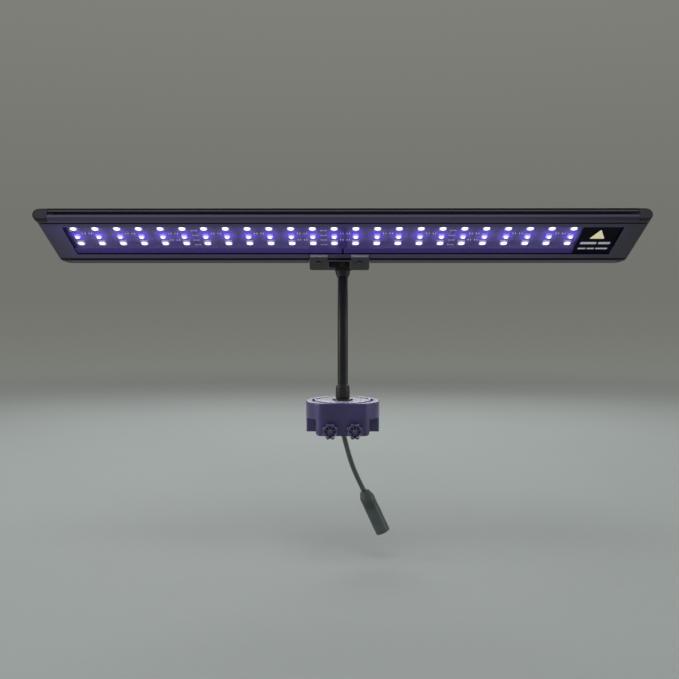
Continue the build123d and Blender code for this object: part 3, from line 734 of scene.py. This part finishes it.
def make_solder(name, power):
    """Bright tin that picks up the emitters beside it."""
    mat = Material(name)
    grain = mat.noise(scale=900.0)
    glow = mat.remap(grain, to=(0.7 * power, 1.2 * power), over=(0.4, 0.6))
    mat.principled(
        Base_Color=mat.mix(grain, srgb(176, 174, 190), srgb(214, 212, 224)),
        Metallic=0.75,
        Roughness=mat.spread(grain, to=(0.25, 0.45)),
        Emission_Color=(0.46, 0.40, 0.68),
        Emission_Strength=glow,
    )
    mat.bump(grain, strength=0.35, depth_mm=0.05)


make_anodised()
make_bezel()
make_board()
make_lens()
make_cap_nose()
# near-black copy of the rail's finish, as painted shade along the front rail's top corner
plastic("rail_edge", srgb(14, 14, 16), srgb(22, 22, 25), rough=(0.36, 0.5), grain=2200,
        spec=0.4, round_mm=0.15)
plastic("cap_plastic", srgb(40, 39, 44), srgb(50, 49, 54), rough=(0.4, 0.55), grain=2200,
        bump=0.3, spec=0.45, speckle=0.4, round_mm=0.3)
plastic("rubber_black", srgb(19, 19, 18), srgb(27, 27, 26), rough=(0.4, 0.55), grain=1500,
        bump=0.3, spec=0.45)
make_label("label_dark", srgb(5, 4, 16), srgb(10, 8, 26), rough=0.5, spec=0.05)
make_label("label_pale", srgb(250, 232, 178), srgb(255, 244, 205), glow=0.33)
make_label("label_bar", srgb(170, 168, 180), srgb(200, 198, 208), glow=0.33)
plastic("resistor", srgb(96, 92, 122), srgb(120, 116, 146), rough=(0.3, 0.45), grain=1500,
        bump=0.1)
make_solder("solder", power=1.0)
plastic("chip_black", srgb(28, 28, 30), srgb(38, 38, 40), rough=(0.45, 0.6), grain=3000, bump=0.2)
metal("screw_black", srgb(52, 52, 56), srgb(70, 70, 74), rough=(0.32, 0.5), grain=400, bump=0.12,
      metallic=0.8)
metal("screw_steel", srgb(150, 150, 156), srgb(182, 182, 188), rough=(0.2, 0.36), grain=900,
      bump=0.12)
make_wire("wire_red", srgb(40, 20, 30), srgb(52, 26, 38))
make_wire("wire_dark", srgb(22, 22, 26), srgb(32, 32, 38))
make_bracket()
make_neck_sleeve()
make_disc()
# dark clamp plastic; its violet cast is painted in for the lamp's violet light
plastic("clamp_plastic", srgb(51, 46, 86), srgb(61, 55, 102), rough=(0.28, 0.4), grain=2400,
        coat=0.6, round_mm=0.35)
plastic("knob_plastic", srgb(12, 10, 26), srgb(18, 15, 36), rough=(0.16, 0.26), grain=2400,
        bump=0.06, coat=0.3, round_mm=0.2)
make_knob_rim()
# pale copy of the disc's plastic for the teeth, as painted highlight
plastic("tooth_pale", srgb(176, 174, 180), srgb(204, 202, 208), rough=(0.3, 0.42), grain=2400,
        bump=0.06, round_mm=0.1)
make_board_screw()
make_solder("link_tin", power=0.30)
metal("brass_insert", srgb(170, 132, 66), srgb(205, 165, 92), rough=(0.22, 0.38), grain=500,
      bump=0.15)
plastic("cable_jacket", srgb(64, 74, 73), srgb(82, 93, 92), grain=1900, bump=0.18, round_mm=0.2)
metal("contact_metal", srgb(190, 190, 196), srgb(225, 225, 230), rough=(0.12, 0.25), grain=700,
      bump=0.05)
make_emitter("led_body", core=(0.62, 0.56, 0.95), rim=(0.26, 0.21, 0.62), power=0.5,
             core_radius=2.6, rows=WHITE_ROWS)
make_emitter("led_white", core=(1.0, 0.99, 1.0), rim=(0.86, 0.80, 1.0), power=2.6,
             core_radius=2.1, rows=WHITE_ROWS)
make_emitter("led_violet_body", core=(0.30, 0.20, 1.0), rim=(0.14, 0.08, 0.9), power=0.8,
             core_radius=2.4, rows=(MIDDLE_ROW,))
make_emitter("led_violet", core=(0.97, 0.95, 1.0), rim=(0.42, 0.30, 1.0), power=2.8,
             core_radius=1.35, rows=(MIDDLE_ROW,))

# CAD pieces take the material of their slot, apart from these slots and pieces
SLOT_OF = {part["node"]: part["material_slot"] for part in frame["record"]["subparts"]}
SLOT_MATERIAL = {
    "wire_sleeve": "wire_red", "led_white": "led_body", "led_violet": "led_violet_body",
}
PIECE_MATERIAL = {"board_screws": "board_screw", "entry_grommet": "anodised_black"}
for name, ob in NODES.items():
    slot = SLOT_OF[name]
    material = PIECE_MATERIAL.get(name) or SLOT_MATERIAL.get(slot, slot)
    ob.data.materials.clear()
    ob.data.materials.append(MATERIALS[material])
    ob.data.shade_smooth()
    ob.data.set_sharp_from_angle(angle=math.radians(28))

# ---------------------------------------------------------------------------
# Emitters: square packages under the boards, each with a lit round face
# ---------------------------------------------------------------------------
PACKAGE_HEIGHT = 1.15
FACE_Z = BOARD_Z - PACKAGE_HEIGHT
DOME_RADIUS, DOME_HEIGHT = 1.75, 1.3


def led_package(side, notch):
    """Square package with one cut corner and a chamfered lower edge."""
    half, trim, chamfer = side / 2, 0.18, 0.14
    outline = [
        (-half + trim, -half), (half - trim, -half), (half, -half + trim), (half, half - notch),
        (half - notch, half), (-half + trim, half), (-half, half - trim), (-half, -half + trim),
    ]
    return loft([
        [(x, y, BOARD_Z) for x, y in outline],
        [(x, y, FACE_Z + chamfer) for x, y in outline],
        [(x * 0.955, y * 0.955, FACE_Z) for x, y in outline],
    ])


def flat_face(radius):
    """Shallow disc sunk into the package."""
    return revolve([
        (0, FACE_Z - 0.22), (radius * 0.5, FACE_Z - 0.2), (radius * 0.82, FACE_Z - 0.13),
        (radius, FACE_Z - 0.02), (radius, FACE_Z + 0.12), (0, FACE_Z + 0.12),
    ], 28)


def domed_face():
    angles = [math.radians(degrees) for degrees in (12, 25, 38, 50, 62, 74, 84, 90)]
    dome = [(DOME_RADIUS * math.sin(a), FACE_Z - DOME_HEIGHT * math.cos(a)) for a in angles]
    base = FACE_Z + 0.12
    return revolve([(0, FACE_Z - DOME_HEIGHT)] + dome + [(DOME_RADIUS, base), (0, base)], 36)


def in_rows(mesh, rows):
    """Repeat a mesh at every column of the given rows."""
    return merge([
        shifted(mesh, FIRST_COLUMN_X + column * COLUMN_PITCH, row, 0)
        for column in range(BOARDS * COLUMNS_PER_BOARD)
        for row in rows
    ])


add_piece("white_led_bodies", in_rows(led_package(5.0, notch=0.7), WHITE_ROWS),
          "led_body", "led_white", sharp=30, replaces="white_leds")
add_piece("white_led_faces", in_rows(flat_face(2.15), WHITE_ROWS), "led_white", "led_white")
add_piece("violet_led_bodies", in_rows(led_package(4.2, notch=0.6), (MIDDLE_ROW,)),
          "led_violet_body", "led_violet", sharp=30, replaces="blue_leds")
add_piece("violet_led_faces", in_rows(domed_face(), (MIDDLE_ROW,)), "led_violet", "led_violet")

# ---------------------------------------------------------------------------
# Chip resistors in pairs between columns, with bright ends
# ---------------------------------------------------------------------------
FRONT_CHIPS_Y, REAR_CHIPS_Y = -33.6, -24.6
PAIR_OFFSET, END_OFFSET = 2.3, 0.85


def resistors():
    chip = box(1.3, 1.25, 0.5, bevel=0.06, segments=1)
    end = box(0.5, 1.3, 0.56, bevel=0.1, segments=2)
    chips, ends = [], []
    for board in range(BOARDS):
        rear_column = 4 if board < 2 else 0
        places = [(column, FRONT_CHIPS_Y) for column in (0, 2, 4)]
        for column, y in places + [(rear_column, REAR_CHIPS_Y)]:
            middle = FIRST_COLUMN_X + (board * COLUMNS_PER_BOARD + column + 0.5) * COLUMN_PITCH
            for x in (middle - PAIR_OFFSET, middle + PAIR_OFFSET):
                chips.append(shifted(chip, x, y, BOARD_Z - 0.3))
                for offset in (-END_OFFSET, END_OFFSET):
                    ends.append(shifted(end, x + offset, y, BOARD_Z - 0.28))
    return merge(chips), merge(ends)


chip_bodies, chip_ends = resistors()
add_piece("resistor_bodies", chip_bodies, "resistor", "resistor", sharp=30,
          replaces="board_resistors")
add_piece("resistor_ends", chip_ends, "solder", "solder")


def solder_links():
    """Five straps across each joint between boards, and four blobs at the left end."""
    profile = [(0, -0.42), (0.35, -0.38), (0.62, -0.22), (0.7, 0.0), (0, 0.0)]
    blob = revolve(profile, 20)
    strap = box(3.6, 0.8, 0.18, bevel=0.05, segments=1)
    strap_pitch, blob_offset = 6.6, 1.7
    parts = []
    for board in range(1, BOARDS):
        x = FIRST_COLUMN_X + (board * COLUMNS_PER_BOARD - 0.5) * COLUMN_PITCH
        for i in range(5):
            y = -HEAD_WIDTH / 2 + (i - 2) * strap_pitch
            parts.append(shifted(strap, x, y, BOARD_Z - 0.1))
            for offset in (-blob_offset, blob_offset):
                parts.append(shifted(blob, x + offset, y, BOARD_Z))
    for y in (FRONT_CHIPS_Y - 4.4, REAR_CHIPS_Y + 4.4):
        parts.append(shifted(blob, FIRST_COLUMN_X - 3.6, y, BOARD_Z))
        parts.append(shifted(blob, FIRST_COLUMN_X - 3.5, y + 1.3, BOARD_Z))
    return merge(parts)


add_piece("solder_links", solder_links(), "link_tin", "solder", sharp=50, replaces="board_links")

# ---------------------------------------------------------------------------
# Label print: a plain triangle and two rows of plain bars
# ---------------------------------------------------------------------------
LABEL_Z = 1.1
TRIANGLE = [(174.6, -33.4), (185.2, -33.4), (179.9, -45.6)]
# x start, x end, y start, y end
BARS = [
    (169.8, 181.2, -28.6, -25.7), (182.6, 191.0, -28.6, -25.7),
    (169.8, 175.4, -20.4, -18.5), (176.4, 181.6, -20.4, -18.5), (182.6, 191.0, -20.4, -18.5),
]


def bar(x0, x1, y0, y1):
    outline = rounded([(x0, y0), (x1, y0), (x1, y1), (x0, y1)], radius=0.4)
    return prism(outline, LABEL_Z - 0.04, LABEL_Z + 0.02)


add_piece("label_triangle", prism(rounded(TRIANGLE, radius=0.6), LABEL_Z - 0.05, LABEL_Z + 0.02),
          "label_pale", "label_dark", sharp=30)
add_piece("label_bars", merge([bar(*ends) for ends in BARS]), "label_bar", "label_dark", sharp=30)

# ---------------------------------------------------------------------------
# Half-round nose at each end of the front rail
# ---------------------------------------------------------------------------
NOSE_RADIUS, NOSE_ARC_STEPS = 4.44, 30
# y, share of the full radius
NOSE_STATIONS = [
    (-61.34, 0.86), (-61.30, 0.92), (-61.16, 0.965), (-60.9, 0.99), (-60.4, 1.0),
    (-58.0, 1.0), (-57.4, 0.985), (-57.0, 0.95), (-56.8, 0.90), (-56.74, 0.84),
]


def cap_nose(side, reach):
    centre_x = HEAD_LENGTH / 2 - NOSE_RADIUS + reach
    inner_x = HEAD_LENGTH / 2 - 7.9
    middle_z = HEAD_THICK / 2
    loops = []
    for y, share in NOSE_STATIONS:
        radius = NOSE_RADIUS * share
        loop = []
        for i in range(NOSE_ARC_STEPS + 1):
            a = math.pi * (i / NOSE_ARC_STEPS) - math.pi / 2
            x = side * (centre_x + radius * math.cos(a))
            loop.append((x, y, middle_z + radius * math.sin(a)))
        loop.append((side * inner_x, y, middle_z + radius))
        loop.append((side * inner_x, y, middle_z - radius))
        loops.append(loop)
    return loft(loops)


for name, side, reach in (("left", -1, 1.9), ("right", 1, 1.0)):
    add_piece(f"cap_nose_{name}", cap_nose(side, reach), "cap_nose", "cap_plastic")


# ---------------------------------------------------------------------------
# Outer edges of the two long rails
# ---------------------------------------------------------------------------
def edge_run(stations):
    """Loft along x. Each station is (x, y0, y1, z0, z1, corner radius)."""
    loops = []
    for x, y0, y1, z0, z1, radius in stations:
        corners = [(y0, z0), (y1, z0), (y1, z1), (y0, z1)]
        radius = min(radius, 0.42 * (y1 - y0), 0.42 * (z1 - z0))
        loops.append([(x, y, z) for y, z in rounded(corners, radius)])
    return loft(loops)


def rear_run(side, inner_x):
    """Rear edge on one side of the middle, rounded off at both ends."""
    def station(x, t):
        """Section that narrows as t goes from 0 to 1."""
        y1 = -1.75 + 2.95 * math.sqrt(max(0.0, 1 - t * t))
        return side * x, -2.2, y1, 0.15 + 0.5 * t * t, 4.5, 0.8

    stations = [station(inner_x + 0.8 * (1 - t), t) for t in (1.0, 0.5, 0.0)]
    for i in range(13):
        t = math.sin(i / 12 * math.pi / 2)
        stations.append(station(201.0 + 6.5 * t, t))
    return edge_run(stations)


# the front edge takes the near-black rail_edge finish: painted shade along its top corner
front_run = edge_run([
    (x, -61.25, -59.0, 7.25, 8.9, 0.35) for x in (-202.3, -100.0, 0.0, 100.0, 202.3)
])
add_piece("rail_edge_front", front_run, "rail_edge", "anodised_black")
for name, side, inner_x in (("left", -1, 25.0), ("right", 1, 20.0)):
    add_piece(f"rail_edge_rear_{name}", rear_run(side, inner_x), "anodised_black",
              "anodised_black")

# ---------------------------------------------------------------------------
# Neck: a straight run up, an even bend back to the head's tilt, and a straight
# top. It is cut into nine sleeve lengths that reach across the joints.
# ---------------------------------------------------------------------------
NECK_BODIES = ["turntable"] + [f"neck_{i}" for i in range(1, 9)] + ["head"]
base_joint = next(
    j for j in frame["joints"] if j["parent"] == NECK_BODIES[0] and j["child"] == NECK_BODIES[1]
)
NECK_BASE_Z = (Vector(base_joint["pos_m"]) * 1000).z
BOSS_Y, BOSS_DEPTH = 7.5, 2.65  # where the neck meets the head, in the head's axes
NECK_TOP_RUN = 7.5
NECK_TIP_Y = HEAD_Y + BOSS_Y * math.cos(TILT) - BOSS_DEPTH * math.sin(TILT)
NECK_TIP_Z = HEAD_Z - BOSS_Y * math.sin(TILT) - BOSS_DEPTH * math.cos(TILT)
BEND_END_Y = NECK_TIP_Y - NECK_TOP_RUN * math.sin(TILT)
BEND_END_Z = NECK_TIP_Z - NECK_TOP_RUN * math.cos(TILT)
BEND_RADIUS = BEND_END_Y / (1 - math.cos(TILT))
STRAIGHT = BEND_END_Z - NECK_BASE_Z - BEND_RADIUS * math.sin(TILT)
NECK_LENGTH = STRAIGHT + BEND_RADIUS * TILT

SLEEVE_RADIUS, SLEEVE_BORE = 3.8, 2.7
SLEEVE_RINGS, SLEEVE_SEGMENTS = 34, 56
COIL_PITCH, COIL_HEIGHT = 1.9, 0.045


def neck_at(along):
    """Point and lean of the neck at a distance above the lowest joint."""
    if along <= STRAIGHT:
        return Vector((0, 0, NECK_BASE_Z + along)), 0.0
    if along >= NECK_LENGTH:
        extra = along - NECK_LENGTH
        y = BEND_END_Y + extra * math.sin(TILT)
        return Vector((0, y, BEND_END_Z + extra * math.cos(TILT))), TILT
    a = (along - STRAIGHT) / BEND_RADIUS
    y = BEND_RADIUS * (1 - math.cos(a))
    return Vector((0, y, NECK_BASE_Z + STRAIGHT + BEND_RADIUS * math.sin(a))), a


def sleeve(start, end):
    """Tube with a fine coil on its outside."""
    segments = SLEEVE_SEGMENTS
    verts, faces = [], []
    for inner in (False, True):
        base = len(verts)
        for i in range(SLEEVE_RINGS + 1):
            along = start + (end - start) * i / SLEEVE_RINGS
            centre, lean = neck_at(along)
            rearward = Vector((0, math.cos(lean), -math.sin(lean)))
            for j in range(segments):
                t = 2 * math.pi * j / segments
                coil = COIL_HEIGHT * math.cos(2 * math.pi * along / COIL_PITCH - t)
                radius = SLEEVE_BORE if inner else SLEEVE_RADIUS + coil
                across = Vector((1, 0, 0)) * (radius * math.cos(t))
                verts.append(tuple(centre + across + rearward * (radius * math.sin(t))))
        for i in range(SLEEVE_RINGS):
            low = base + i * segments
            high = low + segments
            for j in range(segments):
                k = (j + 1) % segments
                a, b = (k, j) if inner else (j, k)
                faces.append((low + a, low + b, high + b, high + a))
    # join the two walls at both ends
    top = SLEEVE_RINGS * segments
    for j in range(segments):
        k = (j + 1) % segments
        faces.append((j, base + j, base + k, k))
        faces.append((top + k, base + top + k, base + top + j, top + j))
    return verts, faces


step = NECK_LENGTH / 8
for i in range(9):
    joint = step * i
    # the first and last lengths reach a little past the end joints
    start = joint - step / 2 if i > 0 else -0.2
    end = joint + step / 2 if i < 8 else NECK_LENGTH + 1.25
    name = f"neck_sleeve_{i + 1}"
    ob = make_object(name, sleeve(start, end), WORLD_FRAME, sharp_angle=60)
    ob.data.materials.append(MATERIALS["neck_sleeve"])
    if i < 8:
        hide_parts(f"neck_link_{i + 1}")
    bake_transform(ob)

# ---------------------------------------------------------------------------
# Thumb screws along Y, with a helical thread
# ---------------------------------------------------------------------------
SCREW_X, SCREW_Z = 8.7, -5.8
THREAD_START, THREAD_END = -26.6, -5.1
THREAD_RADIUS, THREAD_PITCH, THREAD_DEPTH = 2.0, 0.7, 0.38
RINGS_PER_TURN, THREAD_SEGMENTS = 10, 48
END_FADE = 0.6  # length over which the thread narrows at each end


def thread(screw_x):
    count = int((THREAD_END - THREAD_START) / THREAD_PITCH * RINGS_PER_TURN)
    loops = []
    for i in range(count + 1):
        y = THREAD_START + (THREAD_END - THREAD_START) * i / count
        fade = min(1.0, (y - THREAD_START) / END_FADE, (THREAD_END - y) / END_FADE)
        loop = []
        for j in range(THREAD_SEGMENTS):
            t = 2 * math.pi * j / THREAD_SEGMENTS
            phase = (y / THREAD_PITCH - t / (2 * math.pi)) % 1.0
            # triangular ridge with a flattened crest and root
            ridge = min(1.0, max(0.0, (abs(2 * phase - 1) - 0.08) / 0.84))
            radius = THREAD_RADIUS - THREAD_DEPTH * (1 - ridge) - (1 - fade) * 0.35
            loop.append((screw_x + radius * math.sin(t), y, SCREW_Z + radius * math.cos(t)))
        loops.append(loop)
    return loft(loops)


def screw_stem(x):
    """Thread with a plain tip at its rear end and a plain rod at its front end."""
    tip = revolve([(0, 0), (1.2, 0), (1.2, 1.5), (1.0, 1.75), (0, 1.75)], 32)
    rod = revolve([(0, 0), (1.6, 0), (1.6, 4.2), (0, 4.2)], 32)
    to_rear = Matrix.Rotation(math.radians(-90), 4, "X")
    parts = [thread(x)]
    for mesh, y in ((tip, -5.12), (rod, -30.7)):
        parts.append(moved(mesh, Matrix.Translation((x, y, SCREW_Z)) @ to_rear))
    return merge(parts)


for name, side in (("left", -1), ("right", 1)):
    add_piece(f"threaded_stem_{name}", screw_stem(side * SCREW_X), "screw_steel", "screw_steel",
              body=f"{name}_screw", space=WORLD_FRAME, replaces=f"thumb_screw_{name}")

# ---------------------------------------------------------------------------
# Star knobs on the front ends of the screws: a body with eight lobes, a raised
# rim, a hub and eight spokes
# ---------------------------------------------------------------------------
KNOB_POINTS, LOBES = 160, 8
KNOB_RADIUS, LOBE_HEIGHT = 4.98, 0.5
KNOB_Y, KNOB_SCALE = -26.8, 1.06


def lobed_ring(inset, z):
    ring = []
    for i in range(KNOB_POINTS):
        a = 2 * math.pi * i / KNOB_POINTS
        wave = math.cos(LOBES * (a - math.pi / 8))
        radius = KNOB_RADIUS + LOBE_HEIGHT * (wave if wave > 0 else wave * 0.9) - inset
        ring.append((radius * math.cos(a), radius * math.sin(a), z))
    return ring


def round_ring(radius, z):
    angles = [2 * math.pi * i / KNOB_POINTS for i in range(KNOB_POINTS)]
    return [(radius * math.cos(a), radius * math.sin(a), z) for a in angles]


def knob_body():
    body = [lobed_ring(0.35, 0.0), lobed_ring(0.1, 0.08), lobed_ring(0, 0.35), lobed_ring(0, 3.55)]
    boss = [round_ring(3.2, -1.4), round_ring(3.4, -1.25), round_ring(3.4, 0.1)]
    return merge([loft(body, flip_caps=True), loft(boss, flip_caps=True)])


def knob_rim():
    rim = loft([
        lobed_ring(0, 3.5), lobed_ring(0, 5.22), lobed_ring(0.1, 5.45), lobed_ring(0.34, 5.58),
        round_ring(4.0, 5.58), round_ring(3.82, 5.42), round_ring(3.78, 3.5),
    ], closed=True)
    hub = revolve([(0, 5.52), (0.45, 5.5), (0.95, 5.36), (1.2, 5.1), (1.25, 3.5), (0, 3.5)], 40)
    spoke = shifted(box(3.4, 0.62, 1.9, bevel=0.14, segments=2), 2.35, 0, 4.42)
    turns = [2 * math.pi * (i + 0.5) / LOBES for i in range(LOBES)]
    return merge([rim, hub] + [moved(spoke, Matrix.Rotation(a, 4, "Z")) for a in turns])


# the rim and spokes take a paler copy of the body's dark plastic, as painted light, so the pockets
# between them read as shade
for name, side in (("left", -1), ("right", 1)):
    knob_frame = (
        Matrix.Translation((side * SCREW_X, KNOB_Y, SCREW_Z))
        @ Matrix.Rotation(math.radians(90), 4, "X")
        @ Matrix.Diagonal((KNOB_SCALE, KNOB_SCALE, 1.0, 1.0))
    )
    on_screw = {"body": f"{name}_screw", "space": knob_frame, "sharp": 35}
    add_piece(f"star_knob_{name}", knob_body(), "knob_plastic", "knob_plastic",
              replaces=f"thumb_knob_{name}", **on_screw)
    add_piece(f"knob_spokes_{name}", knob_rim(), "knob_rim", "knob_plastic", **on_screw)

# ---------------------------------------------------------------------------
# Teeth round the turntable disc
# ---------------------------------------------------------------------------
TOOTH_COUNT, TOOTH_RING_RADIUS, TOOTH_Z = 62, 20.1, 13.28


def disc_teeth():
    tooth = box(1.0, 1.15, 0.8, bevel=0.14, segments=2)
    stand = Matrix.Translation((TOOTH_RING_RADIUS, 0, TOOTH_Z))
    stand = stand @ Matrix.Rotation(math.pi / 2, 4, "Z")
    turns = [2 * math.pi * i / TOOTH_COUNT for i in range(TOOTH_COUNT)]
    return merge([moved(tooth, Matrix.Rotation(a, 4, "Z") @ stand) for a in turns])


# the teeth's pale material is a painted highlight for the light they catch
add_piece("disc_teeth", disc_teeth(), "tooth_pale", "disc_plastic", body="turntable",
          space=WORLD_FRAME, sharp=35)

# ---------------------------------------------------------------------------
# Studio, in metres: pale floor, soft light, camera
# ---------------------------------------------------------------------------
FLOOR_RADIUS, FLOOR_POINTS, FLOOR_DROP = 2.6, 96, 0.02


def make_floor_material():
    """Pale matt floor that fades into the background with distance and is clear from below."""
    mat = Material("floor_pale")
    mottle = mat.noise(scale=3.0)
    grain = mat.noise(scale=260.0, detail=2.0)
    mat.principled(
        Base_Color=mat.mix(mottle, srgb(156, 163, 160), srgb(166, 172, 169)),
        Roughness=mat.spread(grain, to=(0.65, 0.8)),
        Specular_IOR_Level=0.2,
    )
    away = mat.vector("LENGTH", mat.place, result="Value")
    fade = mat.remap(away, to=(0.0, 1.0), over=(0.35, 2.1), curve="SMOOTHERSTEP")
    hidden = mat.math("MAXIMUM", mat.add("NewGeometry").outputs["Backfacing"], fade)
    clear = mat.add("BsdfTransparent").outputs[0]
    mat.feed(mat.surface, mat.add("MixShader", hidden, mat.bsdf.outputs[0], clear).outputs[0])


def make_floor():
    data = bpy.data.meshes.new("floor")
    angles = [2 * math.pi * i / FLOOR_POINTS for i in range(FLOOR_POINTS)]
    z = cad_lo.z - FLOOR_DROP
    ring = [(FLOOR_RADIUS * math.cos(a), FLOOR_RADIUS * math.sin(a), z) for a in angles]
    data.from_pydata(ring, [], [tuple(range(FLOOR_POINTS))])
    ob = bpy.data.objects.new("floor", data)
    scene.collection.objects.link(ob)
    make_floor_material()
    data.materials.append(MATERIALS["floor_pale"])
    return ob


floor = make_floor()


def area_light(name, size, power, color):
    data = bpy.data.lights.new(name, "AREA")
    data.shape = "RECTANGLE"
    data.size, data.size_y = size
    data.energy = power
    data.color = color
    light = bpy.data.objects.new(name, data)
    scene.collection.objects.link(light)
    light.visible_camera = False
    return light


def aimed_light(name, place, size, power, color, target=(0, 0, 0.04)):
    light = area_light(name, size, power, color)
    light.location = place
    light.rotation_mode = "QUATERNION"
    aim = Vector(target) - Vector(place)
    light.rotation_quaternion = aim.to_track_quat("-Z", "Y")
    return light


def light_only(light, collection_name, skip=()):
    """Limit a light to the meshes other than the floor and those with a skipped word."""
    receivers = bpy.data.collections.new(collection_name)
    for ob in list(scene.objects):
        if ob.type == "MESH" and ob is not floor and not any(word in ob.name for word in skip):
            receivers.objects.link(ob)
    light.light_linking.receiver_collection = receivers


key = aimed_light("key", place=(-0.15, -0.65, 1.2), size=(1.1, 0.6), power=7.0,
                  color=(1.0, 0.99, 0.97))
key.visible_glossy = False
aimed_light("left", place=(-1.15, -0.12, 0.42), size=(0.5, 0.9), power=5.2,
            color=(0.97, 0.98, 1.0))
aimed_light("right", place=(1.15, -0.12, 0.40), size=(0.5, 0.9), power=3.0,
            color=(0.97, 1.0, 0.97))
aimed_light("back", place=(0.0, 1.05, 0.62), size=(1.6, 0.5), power=8.5, color=(1.0, 1.0, 1.0))
low = aimed_light("low", place=(-0.1, -0.85, -0.02), size=(1.2, 0.2), power=1.0,
                  color=(0.95, 0.93, 1.0), target=(0, 0, 0.1))
low.visible_glossy = False
light_only(low, "all_but_floor")
sheen = aimed_light("sheen", place=(0.0, 1.35, 0.20), size=(0.9, 0.22), power=0.28,
                    color=(1.0, 1.0, 1.0), target=(0, 0, 0.013))
sheen.visible_diffuse = False

# the light the lamp itself throws, from just outside its window
lamp = area_light("lamp_output", size=(0.36, 0.03), power=0.42, color=(0.78, 0.74, 1.0))
lamp_place = (HEAD_FRAME @ Vector((-12, -HEAD_WIDTH / 2, -0.6))) * MM
lamp.matrix_world = Matrix.Translation(lamp_place) @ Matrix.Rotation(-TILT, 4, "X")
lamp.visible_glossy = False
lamp.parent = frame["bodies"]["head"]
light_only(lamp, "lit_by_lamp", skip=("neck", "ferrule", "bracket", "cable", "socket"))


def make_world():
    """Grey-green gradient for the camera, and an even grey for everything else."""
    world = bpy.data.worlds.new("world")
    scene.world = world
    world.use_nodes = True
    graph = NodeGraph(world.node_tree)
    height = graph.split(graph.add("TexCoord").outputs["Generated"])[2]
    gradient = graph.add("ValToRGB", graph.rise(height, over=(-0.35, 0.45)))
    ramp = gradient.color_ramp
    ramp.interpolation = "EASE"
    ramp.elements[0].position = 0.08
    ramp.elements[0].color = (*srgb(146, 151, 147), 1)
    ramp.elements[1].position = 1.0
    ramp.elements[1].color = (*srgb(130, 131, 124), 1)
    ramp.elements.new(0.46).color = (*srgb(115, 116, 109), 1)
    seen = graph.add("LightPath").outputs["Is Camera Ray"]
    color = graph.mix(seen, (0.17, 0.172, 0.172), gradient.outputs[0])
    background = world.node_tree.nodes["Background"]
    graph.feed(background.inputs["Color"], color)
    graph.feed(background.inputs["Strength"], 1.0)


def make_camera():
    data = bpy.data.cameras.new("camera")
    data.sensor_width = 36.0
    data.lens = 45.066274
    data.clip_start, data.clip_end = 0.01, 50.0
    camera = bpy.data.objects.new("camera", data)
    scene.collection.objects.link(camera)
    camera.location = (0.00133, -0.62385, 0.0873)
    look_down, turn_left = 2.731, 0.339  # degrees
    camera.rotation_euler = (math.radians(90 - look_down), 0, math.radians(turn_left))
    scene.camera = camera


make_world()
make_camera()
scene.view_settings.view_transform = "Standard"
scene.view_settings.look = "None"
scene.view_settings.exposure = 0.0
scene.cycles.use_denoising = True
scene.cycles.max_bounces = 8
scene.cycles.transparent_max_bounces = 12
